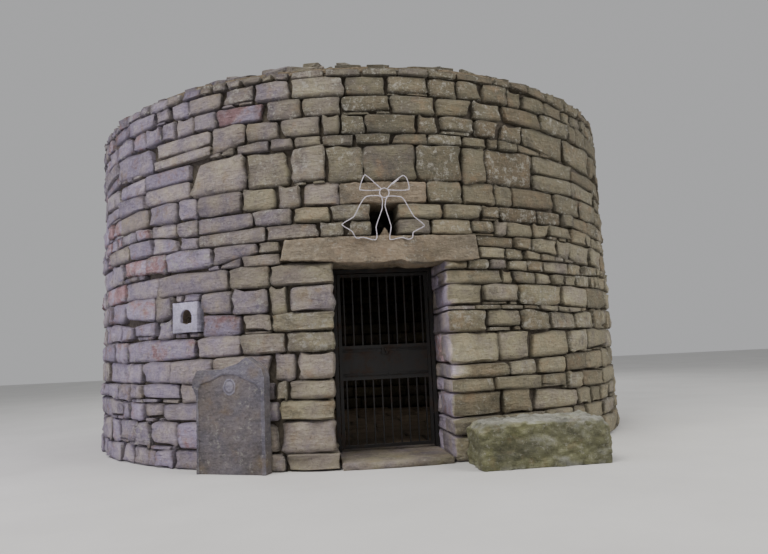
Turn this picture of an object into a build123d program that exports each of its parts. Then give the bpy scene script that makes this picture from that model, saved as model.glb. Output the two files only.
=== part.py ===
# Round dry-stone shepherd hut with a corbelled vault and an iron gate.
# Millimetres, +Z up. Origin: the hut's axis at ground level. The door faces -Y.
# Angles are in degrees, seen from above: 0 is the middle of the door and they grow towards +X.
from build123d import *
from math import cos, radians, sin, sqrt
import os

# Round wall
outer_radius = 3340
inner_radius = 2240
wall_batter = 0.008
lower_segments = 6
upper_segments = 5
jamb_angle = 20
front_angle = 30

# Main bed joints of the outer face: shares of the doorway's height at the door's left and right,
# and shares of the height from the head stone's top to the wall's head
left_bed_shares = (0.237, 0.43, 0.664, 0.89)
right_bed_shares = (0.207, 0.398, 0.629, 0.871)
upper_bed_shares = (0.33, 0.59, 0.76)
joint_height = 36
joint_depth = 60

# Corbelled courses, counted from the top of the doorway
course_height = 262.5
wall_courses = 7
crown_courses = 4
crown_course_height = 240
crown_thickness = 430
crown_segments = 4
crown_hole_radius = 330
corbel_power = 1.5

# Capstone and rubble cover
capstone_radius = 500
capstone_height = 120
cover_segments = 4
cover_radius = 3200
cover_edge = 60
cover_shoulder_radius = 450
cover_thickness = 80
cover_peak = 45

# Doorway
door_width = 1020
door_height = 1860
threshold_height = 60
lintel_height = 225
lintel_left = 1010
lintel_right = 870
lintel_front_radius = 4200
lintel_proud = 10
lintel_sag = 45
lintel_end_slope = 40
front_lintel_depth = 420
middle_lintel_depth = 330

# Vent over the lintel
vent_width = 235
vent_centre = -35
head_stone_width = 820
head_stone_height = 205
head_stone_depth = 400
vent_stone_width = 110
vent_stone_height = 85
vent_stone_depth = 70
vent_stone_setback = 60

# Recessed plaque stone in the wall, left of the door
niche_angle = -35.4
niche_width = 315
niche_height = 290
niche_depth = 250
niche_middle = 1430
niche_proud = 14
recess_width = 142
recess_height = 130
recess_depth = 90
recess_right = 15
recess_rise = 10

# Standing stone and seat stone at the foot of the wall
marker_angle = -25.5
marker_width = 700
marker_thickness = 120
marker_height = 1030
marker_left_edge = ((-0.5, 0), (-0.5, 0.68), (-0.55, 0.75), (-0.55, 0.82), (-0.48, 0.9))
marker_right_edge = ((-0.12, 0.9), (0.12, 0.95), (0.25, 1), (0.46, 0.9), (0.5, 0.82), (0.5, 0))
marker_panel_left = ((-0.47, 0), (-0.47, 0.74), (-0.42, 0.78), (-0.29, 0.8), (-0.11, 0.855))
marker_panel_right = ((0.06, 0.855), (0.2, 0.82), (0.4, 0.76), (0.45, 0.7), (0.45, 0))
marker_panel_depth = 12
marker_boss_width = 125
marker_boss_height = 150
marker_boss_middle = 768
marker_boss_depth = 9
bench_left = 620
bench_width = 1170
bench_depth = 500
bench_height = 400
bench_edge = 30
bench_shares = ((0, 0), (0.97, 0), (1, 0.74), (0.92, 0.98), (0.45, 1), (0.07, 0.93), (0, 0.78))

# Iron gate
gate_setback = 730
post_size = 40
leaf_thickness = 30
stile_width = 32
leaf_gap = 8
leaf_lift = 25
panel_bottom = 765
panel_top = 1075
panel_thickness = 4
bar_size = 14
bar_pitch = 88
lock_width = 70
lock_height = 62
lock_depth = 16
pin_radius = 6
pin_clearance = 0.05
knuckle_radius = 11
knuckle_height = 50
knuckle_rise = 14
hinge_heights = (330, 1500)

# Wire ornament over the vent
wire_width = 10
wire_nail_radius = 3
ring_radius = 50
ring_rise = 390

# Space left between curved faces that would otherwise touch
seat_gap = 0.4

springing = door_height
vent_bottom = door_height + lintel_height
vent_top = springing + 2 * course_height
head_top = vent_top + head_stone_height
wall_height = springing + wall_courses * course_height
crown_top = wall_height + crown_courses * crown_course_height
capstone_top = crown_top + capstone_height
all_courses = wall_courses + crown_courses
door_half = door_width / 2
gate_middle = -(outer_radius - gate_setback)
ring_middle = vent_bottom + ring_rise
tall = 2 * outer_radius
left_beds = [share * springing for share in left_bed_shares] + [springing]
right_beds = [share * springing for share in right_bed_shares] + [springing]
upper_beds = [head_top + share * (wall_height - head_top) for share in upper_bed_shares]

os.makedirs("parts", exist_ok=True)


def outer_at(height):
    """Radius of the wall's outer face, which leans in a little."""
    return outer_radius - wall_batter * height


def inner_at(course):
    """Inner radius of one course: each reaches further in than the one below it."""
    share = (course / (all_courses - 1)) ** corbel_power
    return inner_radius - (inner_radius - crown_hole_radius) * share


def course_bottom(course):
    """Height of the bed under one course."""
    if course < wall_courses:
        return springing + course * course_height
    return wall_height + (course - wall_courses) * crown_course_height


def radial_plane(angle):
    """Upright plane through the hut's axis: its X runs outwards and its Y runs up."""
    side = radians(angle)
    return Plane((0, 0, 0), x_dir=(sin(side), -cos(side), 0), z_dir=(-cos(side), -sin(side), 0))


def facing_plane(angle, distance, height):
    """Upright plane that faces outwards at one angle: its Y runs up."""
    side = radians(angle)
    out = (sin(side), -cos(side), 0)
    middle = (distance * out[0], distance * out[1], height)
    return Plane(middle, x_dir=(cos(side), sin(side), 0), z_dir=out)


def sector(start, sweep, outline):
    """Solid swept round the axis from an outline of (radius, height) corners."""
    with BuildPart() as piece:
        with BuildSketch(radial_plane(start)):
            with BuildLine():
                Polyline(outline, close=True)
            make_face()
        revolve(axis=Axis.Z, revolution_arc=sweep)
    return piece.part


def jointed_face(bottom, top, beds):
    """Outer corners of a wall from the bottom up, with an open joint at each bed between its stones."""
    corners = [] if bottom in beds else [(outer_at(bottom), bottom)]
    for bed in beds:
        below = bed - joint_height / 2
        above = bed + joint_height / 2
        if below > bottom:
            corners.append((outer_at(below), below))
        corners.append((outer_at(bed) - joint_depth, bed))
        if above < top:
            corners.append((outer_at(above), above))
    if top not in beds:
        corners.append((outer_at(top), top))
    return corners


def stepped_inside(first, last):
    """Inner corners of the courses first to last, from the top one down."""
    corners = []
    for course in range(last, first - 1, -1):
        corners.append((inner_at(course), course_bottom(course + 1)))
        corners.append((inner_at(course), course_bottom(course)))
    return corners


def lower_outline(beds):
    """Section of the wall beside the doorway."""
    return [(inner_radius, 0)] + jointed_face(0, springing, beds) + [(inner_radius, springing)]


def corbelled_outline(first, last, beds):
    """Section of the wall over the doorway, with its stepped inner face."""
    return jointed_face(course_bottom(first), course_bottom(last + 1), beds) + stepped_inside(first, last)


def save(part, name):
    """Label a finished piece and write its file."""
    part.label = name
    export_step(part, f"parts/{name}.step")


# Floor of flagstones inside the wall
with BuildPart() as floor:
    Cylinder(inner_radius - seat_gap, threshold_height, align=(Align.CENTER, Align.CENTER, Align.MIN))
save(floor.part, "floor")

# Threshold slab, the full depth of the wall
with BuildPart() as threshold:
    with BuildSketch():
        Circle(outer_radius)
        Circle(inner_radius, mode=Mode.SUBTRACT)
        with Locations((0, -outer_radius)):
            Rectangle(door_width, 2 * outer_radius, mode=Mode.INTERSECT)
    extrude(amount=threshold_height)
save(threshold.part, "threshold_stone")

# Niche stone: a plaque with an arched recess, flush with the wall's face
niche_face = facing_plane(niche_angle, outer_at(niche_middle) + niche_proud, niche_middle)
with BuildPart() as niche_block:
    with BuildSketch(niche_face):
        Rectangle(niche_width, niche_height)
    extrude(amount=-niche_depth)
with BuildPart() as niche:
    add(niche_block.part)
    with BuildSketch(niche_face):
        with Locations((recess_right, recess_rise - recess_width / 4)):
            Rectangle(recess_width, recess_height - recess_width / 2)
        with Locations((recess_right, recess_rise + recess_height / 2 - recess_width / 2)):
            Circle(recess_width / 2)
    extrude(amount=-recess_depth, mode=Mode.SUBTRACT)
save(niche.part, "niche_stone")

# Lower wall beside the doorway, in segments
lower_sweep = (360 - 2 * jamb_angle) / lower_segments
for number in range(lower_segments):
    start = jamb_angle + number * lower_sweep
    beds = right_beds if number < lower_segments / 2 else left_beds
    with BuildPart() as lower_wall:
        add(sector(start, lower_sweep, lower_outline(beds)))
        if start < 360 + niche_angle < start + lower_sweep:
            add(niche_block.part, mode=Mode.SUBTRACT)
    save(lower_wall.part, f"lower_wall_{number + 1}")

# Door jambs, from the reveal to the first radial joint, with the bed joints carried round the reveal
for name, start, reveal, deep, beds in (
    ("door_jamb_left", -jamb_angle, -door_half, -joint_depth, left_beds),
    ("door_jamb_right", 0, door_half, joint_depth, right_beds),
):
    with BuildPart() as jamb:
        add(sector(start, jamb_angle, lower_outline(beds)))
        with Locations((0, -outer_radius, 0)):
            Box(door_width, 2 * outer_radius, tall, mode=Mode.SUBTRACT)
        with BuildSketch(Plane.XZ):
            for bed in beds:
                with BuildLine():
                    Polyline(
                        (reveal, bed - joint_height / 2),
                        (reveal + deep, bed),
                        (reveal, bed + joint_height / 2),
                        close=True,
                    )
                make_face()
        extrude(amount=tall, mode=Mode.SUBTRACT)
    save(jamb.part, name)

# Three lintels side by side: the front one follows the wall a little flatter, its ends slope and it
# sags below its bearings
lintel_middle = (lintel_right - lintel_left) / 2
lintel_length = lintel_right + lintel_left
lintel_face = outer_at(springing) + lintel_proud
lintel_backs = (
    lintel_face - front_lintel_depth,
    lintel_face - front_lintel_depth - middle_lintel_depth,
    inner_radius,
)
lintels = []
front = lintel_face
for name, back in zip(("front_lintel", "middle_lintel", "back_lintel"), lintel_backs):
    with BuildPart() as lintel:
        with BuildSketch(Plane.XY.offset(springing)):
            with Locations((lintel_middle, -(front + back) / 2)):
                Rectangle(lintel_length, front - back)
            with Locations((0, lintel_front_radius - lintel_face)):
                Circle(lintel_front_radius, mode=Mode.INTERSECT)
        extrude(amount=lintel_height)
        if name == "front_lintel":
            extrude(lintel.faces().sort_by(Axis.Z)[0], amount=lintel_sag)
            with BuildSketch(Plane.XZ):
                with BuildLine():
                    ThreePointArc((-door_half, springing), (0, springing - lintel_sag), (door_half, springing))
                    Polyline(
                        (door_half, springing),
                        (lintel_right, springing),
                        (lintel_right - lintel_end_slope, vent_bottom),
                        (lintel_end_slope - lintel_left, vent_bottom),
                        (-lintel_left, springing),
                        (-door_half, springing),
                    )
                make_face()
            extrude(amount=tall, mode=Mode.INTERSECT)
    save(lintel.part, name)
    lintels.append(lintel.part)
    front = back

# Wall beside the vent, resting on the jambs and round the lintels' ends
vent_left = vent_centre - vent_width / 2
vent_right = vent_centre + vent_width / 2
vent_outline = corbelled_outline(0, 1, [springing, vent_bottom, vent_top])
for name, side, cut_at in (("vent_wall_left", -1, vent_left), ("vent_wall_right", 1, vent_right)):
    with BuildPart() as vent_wall:
        add(sector(-front_angle, 2 * front_angle, vent_outline))
        with Locations((cut_at - side * outer_radius, -outer_radius, vent_top)):
            Box(2 * outer_radius, 2 * outer_radius, tall, mode=Mode.SUBTRACT)
        for lintel_part in lintels:
            add(lintel_part, mode=Mode.SUBTRACT)
    save(vent_wall.part, name)

# Head stone over the vent
head_face = outer_at(vent_top)
with BuildPart() as head_stone:
    with BuildSketch(Plane.XY.offset(vent_top)):
        Circle(head_face)
        with Locations((vent_centre, -head_face + head_stone_depth / 2)):
            Rectangle(head_stone_width, head_stone_depth, mode=Mode.INTERSECT)
    extrude(amount=head_stone_height)
save(head_stone.part, "vent_head_stone")

# Wall over the vent
over_vent = [vent_top, head_top] + upper_beds
with BuildPart() as front_wall:
    add(sector(-front_angle, 2 * front_angle, corbelled_outline(2, wall_courses - 1, over_vent)))
    add(head_stone.part, mode=Mode.SUBTRACT)
save(front_wall.part, "upper_wall_front")

# Small pointed stone standing in the vent
with BuildPart() as vent_stone:
    with BuildSketch(Plane.XZ.offset(outer_at(vent_bottom) - vent_stone_setback)):
        with BuildLine():
            Polyline(
                (vent_centre - vent_stone_width / 2, vent_bottom),
                (vent_centre + vent_stone_width / 2, vent_bottom),
                (vent_centre, vent_bottom + vent_stone_height),
                close=True,
            )
        make_face()
    extrude(amount=-vent_stone_depth)
save(vent_stone.part, "vent_stone")

# Rest of the upper wall, in segments
upper_sweep = (360 - 2 * front_angle) / upper_segments
upper_outline = corbelled_outline(0, wall_courses - 1, [springing, vent_bottom] + over_vent)
for number in range(upper_segments):
    start = front_angle + number * upper_sweep
    save(sector(start, upper_sweep, upper_outline), f"upper_wall_{number + 1}")

# Crown of the vault above the wall head: each course is stepped outside as well
crown_outline = []
cover_inside = []
for course in range(wall_courses, all_courses):
    back = inner_at(course) + crown_thickness
    crown_outline += [(back, course_bottom(course)), (back, course_bottom(course + 1))]
    cover_inside += [(back + seat_gap, course_bottom(course)), (back + seat_gap, course_bottom(course + 1))]
crown_outline += stepped_inside(wall_courses, all_courses - 1)
crown_sweep = 360 / crown_segments
for number in range(crown_segments):
    save(sector((number - 0.5) * crown_sweep, crown_sweep, crown_outline), f"vault_crown_{number + 1}")

# Capstone that closes the vault
with BuildPart() as capstone:
    with BuildSketch(Plane.XY.offset(crown_top)):
        RegularPolygon(capstone_radius, 8)
    extrude(amount=capstone_height)
save(capstone.part, "capstone")

# Rubble and earth cover, a low cone from the wall head to over the capstone
cover_outline = cover_inside + [
    (capstone_radius + seat_gap, crown_top),
    (capstone_radius + seat_gap, capstone_top),
    (0, capstone_top),
    (0, capstone_top + cover_thickness + cover_peak),
    (cover_shoulder_radius, capstone_top + cover_thickness),
    (cover_radius, wall_height + cover_edge),
    (cover_radius, wall_height),
]
cover_sweep = 360 / cover_segments
for number in range(cover_segments):
    save(sector(number * cover_sweep, cover_sweep, cover_outline), f"roof_cover_{number + 1}")

# Standing stone against the wall, with a sunk panel and a raised oval in it
marker_back = outer_radius + seat_gap
marker_face = facing_plane(marker_angle, marker_back + marker_thickness, 0)
with BuildPart() as marker:
    for shares, depth, mode in (
        (marker_left_edge + marker_right_edge, marker_thickness, Mode.ADD),
        (marker_panel_left + marker_panel_right, marker_panel_depth, Mode.SUBTRACT),
    ):
        with BuildSketch(marker_face):
            with BuildLine():
                Polyline([(across * marker_width, up * marker_height) for across, up in shares], close=True)
            make_face()
        extrude(amount=-depth, mode=mode)
    with BuildSketch(marker_face.offset(-marker_panel_depth)):
        with Locations((0, marker_boss_middle)):
            Ellipse(marker_boss_width / 2, marker_boss_height / 2)
    extrude(amount=marker_boss_depth)
save(marker.part, "marker_stone")

# Seat stone right of the door, with its back corner against the wall
bench_back = -sqrt(outer_radius**2 - bench_left**2) - seat_gap
bench_front = bench_back - bench_depth
with BuildPart() as bench:
    with BuildSketch(Plane.XZ.offset(-bench_front)):
        with BuildLine():
            Polyline(
                [(bench_left + across * bench_width, up * bench_height) for across, up in bench_shares],
                close=True,
            )
        make_face()
    extrude(amount=-bench_depth)
    front_edges = bench.faces().sort_by(Axis.Y)[0].edges()
    chamfer(front_edges.filter_by(lambda edge: edge.center().Z > bench_edge), length=bench_edge)
save(bench.part, "bench_stone")

# Fixed gate frame: two posts on the threshold and a head bar between them, under the lintel
post_height = door_height - threshold_height
with BuildPart() as posts:
    with Locations((0, gate_middle, threshold_height)):
        with GridLocations(door_width - post_size, 0, 2, 1):
            Box(post_size, post_size, post_height, align=(Align.CENTER, Align.CENTER, Align.MIN))
save(posts.part, "gate_posts")
head_bar_length = door_width - 2 * post_size
with BuildPart() as head_bar:
    with Locations((0, gate_middle, door_height)):
        Box(head_bar_length, post_size, post_size, align=(Align.CENTER, Align.CENTER, Align.MAX))
save(head_bar.part, "gate_head_bar")

# Gate leaf: stiles and rails
leaf_half = head_bar_length / 2 - leaf_gap
leaf_bottom = threshold_height + leaf_lift
leaf_top = door_height - post_size - leaf_gap
leaf_front = gate_middle - leaf_thickness / 2
leaf_back = gate_middle + leaf_thickness / 2
leaf_face = Plane.XZ.offset(-leaf_front)
with BuildPart() as leaf_frame:
    with BuildSketch(leaf_face):
        with Locations((0, (leaf_bottom + leaf_top) / 2)):
            Rectangle(2 * leaf_half, leaf_top - leaf_bottom)
        for low, high in ((leaf_bottom, panel_bottom), (panel_bottom, panel_top), (panel_top, leaf_top)):
            rail_low = stile_width if low == leaf_bottom else stile_width / 2
            rail_high = stile_width if high == leaf_top else stile_width / 2
            with Locations((0, (low + rail_low + high - rail_high) / 2)):
                Rectangle(
                    2 * (leaf_half - stile_width),
                    high - rail_high - low - rail_low,
                    mode=Mode.SUBTRACT,
                )
    extrude(amount=-leaf_thickness)
save(leaf_frame.part, "gate_leaf_frame")

# Sheet that fills the middle of the leaf
panel_width = 2 * (leaf_half - stile_width)
panel_height = panel_top - panel_bottom - stile_width
with BuildPart() as panel:
    with Locations((0, gate_middle, (panel_top + panel_bottom) / 2)):
        Box(panel_width, panel_thickness, panel_height)
save(panel.part, "gate_panel")

# Upright bars, butted between the rails
bar_count = int((panel_width - bar_size) // bar_pitch) + 1
for name, low, high in (
    ("gate_bars_lower", leaf_bottom + stile_width, panel_bottom - stile_width / 2),
    ("gate_bars_upper", panel_top + stile_width / 2, leaf_top - stile_width),
):
    with BuildPart() as bars:
        with Locations((0, gate_middle, (low + high) / 2)):
            with GridLocations(bar_pitch, 0, bar_count, 1):
                Box(bar_size, bar_size, high - low)
    save(bars.part, name)

# Lock case on the panel
lock_top = panel_top - stile_width / 2
with BuildPart() as lock:
    with Locations((0, gate_middle - panel_thickness / 2, lock_top)):
        Box(lock_width, lock_depth, lock_height, align=(Align.CENTER, Align.MAX, Align.MAX))
save(lock.part, "gate_lock")

# Hinges at the right, on the room side: pins on the post, barrels on the leaf
post_inner = door_half - post_size
post_back = gate_middle + post_size / 2
hinge_x = post_inner - leaf_gap / 2
hinge_y = post_back + knuckle_rise
with BuildPart() as hinge_pins:
    for height in hinge_heights:
        with BuildSketch(Plane.XY.offset(height)):
            with Locations((hinge_x, hinge_y)):
                Circle(knuckle_radius)
            with Locations((hinge_x, post_back)):
                Rectangle(post_size - leaf_gap, knuckle_rise, align=(Align.MIN, Align.MIN))
        extrude(amount=-knuckle_height)
        with BuildSketch(Plane.XY.offset(height)):
            with Locations((hinge_x, hinge_y)):
                Circle(pin_radius)
        extrude(amount=knuckle_height)
save(hinge_pins.part, "gate_hinge_pins")

strap_depth = hinge_y - leaf_back - pin_radius - 1
with BuildPart() as hinge_barrels:
    for height in hinge_heights:
        with BuildSketch(Plane.XY.offset(height + seat_gap)):
            with Locations((hinge_x, hinge_y)):
                Circle(knuckle_radius)
            with Locations((hinge_x, leaf_back)):
                Rectangle(stile_width, strap_depth, align=(Align.MAX, Align.MIN))
            with Locations((hinge_x, hinge_y)):
                Circle(pin_radius + pin_clearance, mode=Mode.SUBTRACT)
        extrude(amount=knuckle_height)
save(hinge_barrels.part, "gate_hinge_barrels")

# Wire ornament in front of the vent: two bells under a bow, hung from a nail, with their points
# measured from the middle of the ring
wire_back = lintel_face + 2 * seat_gap
nail_start = head_face + seat_gap
wire_nail_height = ring_middle + ring_radius - wire_width / 2
left_bell = [
    (-25, -35), (-120, -25), (-175, -35), (-225, -100), (-290, -220), (-405, -290), (-310, -355),
    (-275, -420), (-215, -410), (-100, -440), (-85, -415), (-90, -315), (-25, -145),
]
right_bell = [
    (25, -35), (0, -125), (50, -315), (30, -440), (145, -420), (205, -440), (245, -425), (250, -375),
    (365, -315), (265, -225), (215, -130), (165, -45), (125, -35),
]
left_bow = [(-25, 35), (-55, 65), (-175, 175), (-230, 30), (-50, 25)]
right_bow = [(25, 35), (180, 165), (215, 140), (235, 25), (45, 25)]
with BuildPart() as wire_bells:
    with BuildSketch(Plane.XZ.offset(wire_back)):
        with Locations((vent_centre, ring_middle)):
            Circle(ring_radius)
            Circle(ring_radius - wire_width, mode=Mode.SUBTRACT)
        for loop in (left_bell, right_bell, left_bow, right_bow):
            with BuildLine():
                Polyline([(vent_centre + across, ring_middle + up) for across, up in loop], close=True)
            trace(line_width=wire_width)
    extrude(amount=wire_width)
    with BuildSketch(Plane.XZ.offset(nail_start)):
        with Locations((vent_centre, wire_nail_height)):
            Circle(wire_nail_radius)
    extrude(amount=wire_back + wire_width - nail_start)
save(wire_bells.part, "wire_bells")
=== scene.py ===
import math
import random

import bpy
import numpy as np
from mathutils import Matrix, Vector
from mathutils.bvhtree import BVHTree


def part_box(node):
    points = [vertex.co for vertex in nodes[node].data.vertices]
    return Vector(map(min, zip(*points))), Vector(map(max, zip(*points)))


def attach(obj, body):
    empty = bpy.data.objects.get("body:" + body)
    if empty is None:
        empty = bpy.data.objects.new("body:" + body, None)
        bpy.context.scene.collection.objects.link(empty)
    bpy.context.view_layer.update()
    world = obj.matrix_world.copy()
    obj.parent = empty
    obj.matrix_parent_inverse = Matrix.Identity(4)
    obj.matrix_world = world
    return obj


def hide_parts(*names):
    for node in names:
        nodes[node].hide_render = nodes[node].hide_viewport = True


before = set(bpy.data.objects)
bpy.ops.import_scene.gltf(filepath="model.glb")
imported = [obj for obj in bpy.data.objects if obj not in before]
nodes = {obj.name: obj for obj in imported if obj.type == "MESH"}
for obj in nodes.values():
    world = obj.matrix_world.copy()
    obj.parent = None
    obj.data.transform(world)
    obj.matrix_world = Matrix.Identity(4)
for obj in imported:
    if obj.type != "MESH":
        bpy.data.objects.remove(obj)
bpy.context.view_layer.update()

# sizes of the hut, read from the frame
lowerNames = sorted(n for n in nodes if n.startswith("lower_wall"))
upperNames = sorted(n for n in nodes if n.startswith("upper_wall"))
hut = {
    "outer": max(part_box(n)[1].x for n in lowerNames),
    "inner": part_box("floor")[1].x,
    "lean": 0.008,  # how far the face leans in, per metre of height
    "doorHalf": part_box("threshold_stone")[1].x,
    "floor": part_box("floor")[1].z,
    "spring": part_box("middle_lintel")[0].z,
    "lintelTop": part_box("front_lintel")[1].z,
    "lintelLeft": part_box("front_lintel")[0].x,
    "lintelRight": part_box("front_lintel")[1].x,
    "ventLeft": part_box("vent_wall_left")[1].x,
    "ventRight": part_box("vent_wall_right")[0].x,
    "ventTop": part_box("vent_wall_left")[1].z,
    "headLeft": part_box("vent_head_stone")[0].x,
    "headRight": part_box("vent_head_stone")[1].x,
    "headTop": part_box("vent_head_stone")[1].z,
    "wallTop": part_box("upper_wall_1")[1].z,
    "crownTop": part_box("capstone")[0].z,
    "hole": 0.33,  # radius left open under the capstone
    "corbelPower": 1.5,
    "wallCourses": 7,
    "crownCourses": 4,
}
dice = random.Random(11)


def deselectAll():
    if bpy.context.object and bpy.context.object.mode != "OBJECT":
        bpy.ops.object.mode_set(mode="OBJECT")
    bpy.ops.object.select_all(action="DESELECT")


def pick(piece):  # makes one object the active one
    deselectAll()
    piece.select_set(True)
    bpy.context.view_layer.objects.active = piece


def newShape(addShape, scale=(1, 1, 1), **values):  # a primitive, with its place and size in its mesh
    deselectAll()
    addShape(**values)
    shape = bpy.context.object
    shape.scale = scale
    pick(shape)
    bpy.ops.object.transform_apply(location=True, rotation=True, scale=True)
    return shape


def newBox(low, high):
    middle = [(a + b) / 2 for a, b in zip(low, high)]
    size = [b - a for a, b in zip(low, high)]
    return newShape(bpy.ops.mesh.primitive_cube_add, size, size=1, location=middle)


def newRod(place, radius, depth, vertices):  # a cylinder that lies from front to back
    return newShape(bpy.ops.mesh.primitive_cylinder_add, vertices=vertices, radius=radius, depth=depth,
                    location=place, rotation=(math.pi / 2, 0, 0))


def newObject(name, data):
    piece = bpy.data.objects.new(name, data)
    bpy.context.scene.collection.objects.link(piece)
    return piece


def editAll(piece):  # enters edit mode with everything selected
    pick(piece)
    bpy.ops.object.mode_set(mode="EDIT")
    bpy.ops.mesh.select_all(action="SELECT")


def leaveEdit():
    bpy.ops.object.mode_set(mode="OBJECT")


def applyModifier(piece, kind, **values):
    pick(piece)
    modifier = piece.modifiers.new(kind.title(), kind)
    for key, value in values.items():
        setattr(modifier, key, value)
    bpy.ops.object.modifier_apply(modifier=modifier.name)


def roughen(piece, size, strength, depth=2, middle=0.5):  # pushes the surface in and out by a cloud pattern
    cloud = bpy.data.textures.new(piece.name + "Cloud", "CLOUDS")
    cloud.noise_scale = size
    cloud.noise_depth = depth
    applyModifier(piece, "DISPLACE", texture=cloud, strength=strength, mid_level=middle,
                  texture_coords="LOCAL")


def cutAway(piece, cutter):
    applyModifier(piece, "BOOLEAN", object=cutter, operation="DIFFERENCE", solver="EXACT")
    bpy.data.objects.remove(cutter)


def choose(piece, kind, wanted):  # enters edit mode with only the wanted faces or edges selected
    pick(piece)
    bpy.ops.object.mode_set(mode="EDIT")
    bpy.ops.mesh.select_mode(type=kind)
    bpy.ops.mesh.select_all(action="DESELECT")
    leaveEdit()
    for part in piece.data.polygons if kind == "FACE" else piece.data.edges:
        part.select = wanted(part)
    bpy.ops.object.mode_set(mode="EDIT")


def joinAll(name, parts, angle):
    deselectAll()
    for part in parts:
        part.select_set(True)
    bpy.context.view_layer.objects.active = parts[0]
    bpy.ops.object.join()
    parts[0].name = name
    roundOff(parts[0], angle)
    return parts[0]


def roundOff(piece, angle):  # smooth faces with crisp edges where they turn sharply
    pick(piece)
    bpy.ops.object.shade_smooth_by_angle(angle=math.radians(angle))


def pointsOf(piece, what="co"):
    values = np.empty(len(piece.data.vertices) * 3, np.float32)
    piece.data.vertices.foreach_get(what, values)
    return values.reshape(-1, 3)


def movePoints(piece, points):
    piece.data.vertices.foreach_set("co", points.ravel())


def paintTones(piece, tones):
    layer = piece.data.color_attributes.new("stoneTone", "FLOAT_COLOR", "POINT")
    layer.data.foreach_set("color", tones.ravel())


# materials: maths on sockets reads as an expression
class Signal:
    def __init__(self, finish, socket):
        self.finish = finish
        self.socket = socket

    def maths(self, operation, first, second):
        return self.finish.add("ShaderNodeMath", {"operation": operation}, {0: first, 1: second})

    def __add__(self, other):
        return self.maths("ADD", self, other)

    def __sub__(self, other):
        return self.maths("SUBTRACT", self, other)

    def __rsub__(self, other):
        return self.maths("SUBTRACT", other, self)

    def __mul__(self, other):
        return self.maths("MULTIPLY", self, other)

    __radd__ = __add__
    __rmul__ = __mul__

    def between(self, low, high):  # 0 below low, 1 above high
        return self.finish.add("ShaderNodeMapRange", {"interpolation_type": "SMOOTHSTEP"},
                               {"Value": self, "From Min": low, "From Max": high})


class Finish:
    def __init__(self, name):
        self.material = bpy.data.materials.new(name)
        self.material.use_nodes = True
        self.tree = self.material.node_tree
        self.tree.nodes.clear()
        self.output = self.tree.nodes.new("ShaderNodeOutputMaterial")
        self.shader = self.tree.nodes.new("ShaderNodeBsdfPrincipled")
        self.tree.links.new(self.shader.outputs[0], self.output.inputs[0])
        self.place = self.add("ShaderNodeTexCoord", output="Object")

    def feed(self, socket, value):
        if isinstance(value, Signal):
            self.tree.links.new(value.socket, socket)
        elif isinstance(value, tuple) and socket.type == "RGBA":
            socket.default_value = (*value[:3], 1)
        else:
            socket.default_value = value

    def add(self, kind, settings={}, inputs={}, output=0):
        node = self.tree.nodes.new(kind)
        for key, value in settings.items():
            if key == "stops":
                while len(node.color_ramp.elements) < len(value):
                    node.color_ramp.elements.new(0.5)
                for element, (position, colour) in zip(node.color_ramp.elements, value):
                    element.position = position
                    element.color = (*colour, 1)
            else:
                setattr(node, key, value)
        for key, value in inputs.items():
            self.feed(node.inputs[key], value)
        return Signal(self, node.outputs[output])

    def noise(self, scale, detail=4, roughness=0.6, where=None):
        inputs = {"Vector": where or self.place, "Scale": scale, "Detail": detail, "Roughness": roughness}
        return self.add("ShaderNodeTexNoise", {}, inputs)

    def cells(self, scale, feature="F1", where=None):
        inputs = {"Vector": where or self.place, "Scale": scale}
        return self.add("ShaderNodeTexVoronoi", {"feature": feature}, inputs, "Distance")

    def ramp(self, value, *stops):
        return self.add("ShaderNodeValToRGB", {"stops": stops}, {"Fac": value})

    def mix(self, amount, first, second, how="MIX"):  # the inputs and the output for colours, by number
        settings = {"data_type": "RGBA", "blend_type": how}
        return self.add("ShaderNodeMix", settings, {0: amount, 6: first, 7: second}, 2)

    def grey(self, value):  # a number as a colour, for multiplying
        return self.add("ShaderNodeCombineColor", {}, {"Red": value, "Green": value, "Blue": value})

    def finish(self, colour, roughness, height=None, strength=0.5, distance=0.01):
        self.feed(self.shader.inputs["Base Color"], colour)
        self.feed(self.shader.inputs["Roughness"], roughness)
        if height is not None:
            inputs = {"Height": height, "Strength": strength, "Distance": distance}
            self.feed(self.shader.inputs["Normal"], self.add("ShaderNodeBump", {}, inputs))
        return self.material


stoneLook = {
    "hues": (
        (0.0, (0.325, 0.192, 0.20)),  # brick red
        (0.05, (0.32, 0.245, 0.275)),  # pink
        (0.13, (0.272, 0.236, 0.318)),  # mauve grey
        (0.45, (0.292, 0.248, 0.215)),  # taupe
        (0.75, (0.272, 0.244, 0.162)),  # olive beige
        (1.0, (0.235, 0.187, 0.118)),  # brown
    ),
    "lichen": (0.43, 0.415, 0.36),
    "ochre": (0.31, 0.205, 0.115),
    # dark lichen, pits, and the painted shade at the stones' edges
    "darkLichenAndShade": (0.062, 0.058, 0.048),
    "moss": (0.095, 0.105, 0.045),
}


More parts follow.
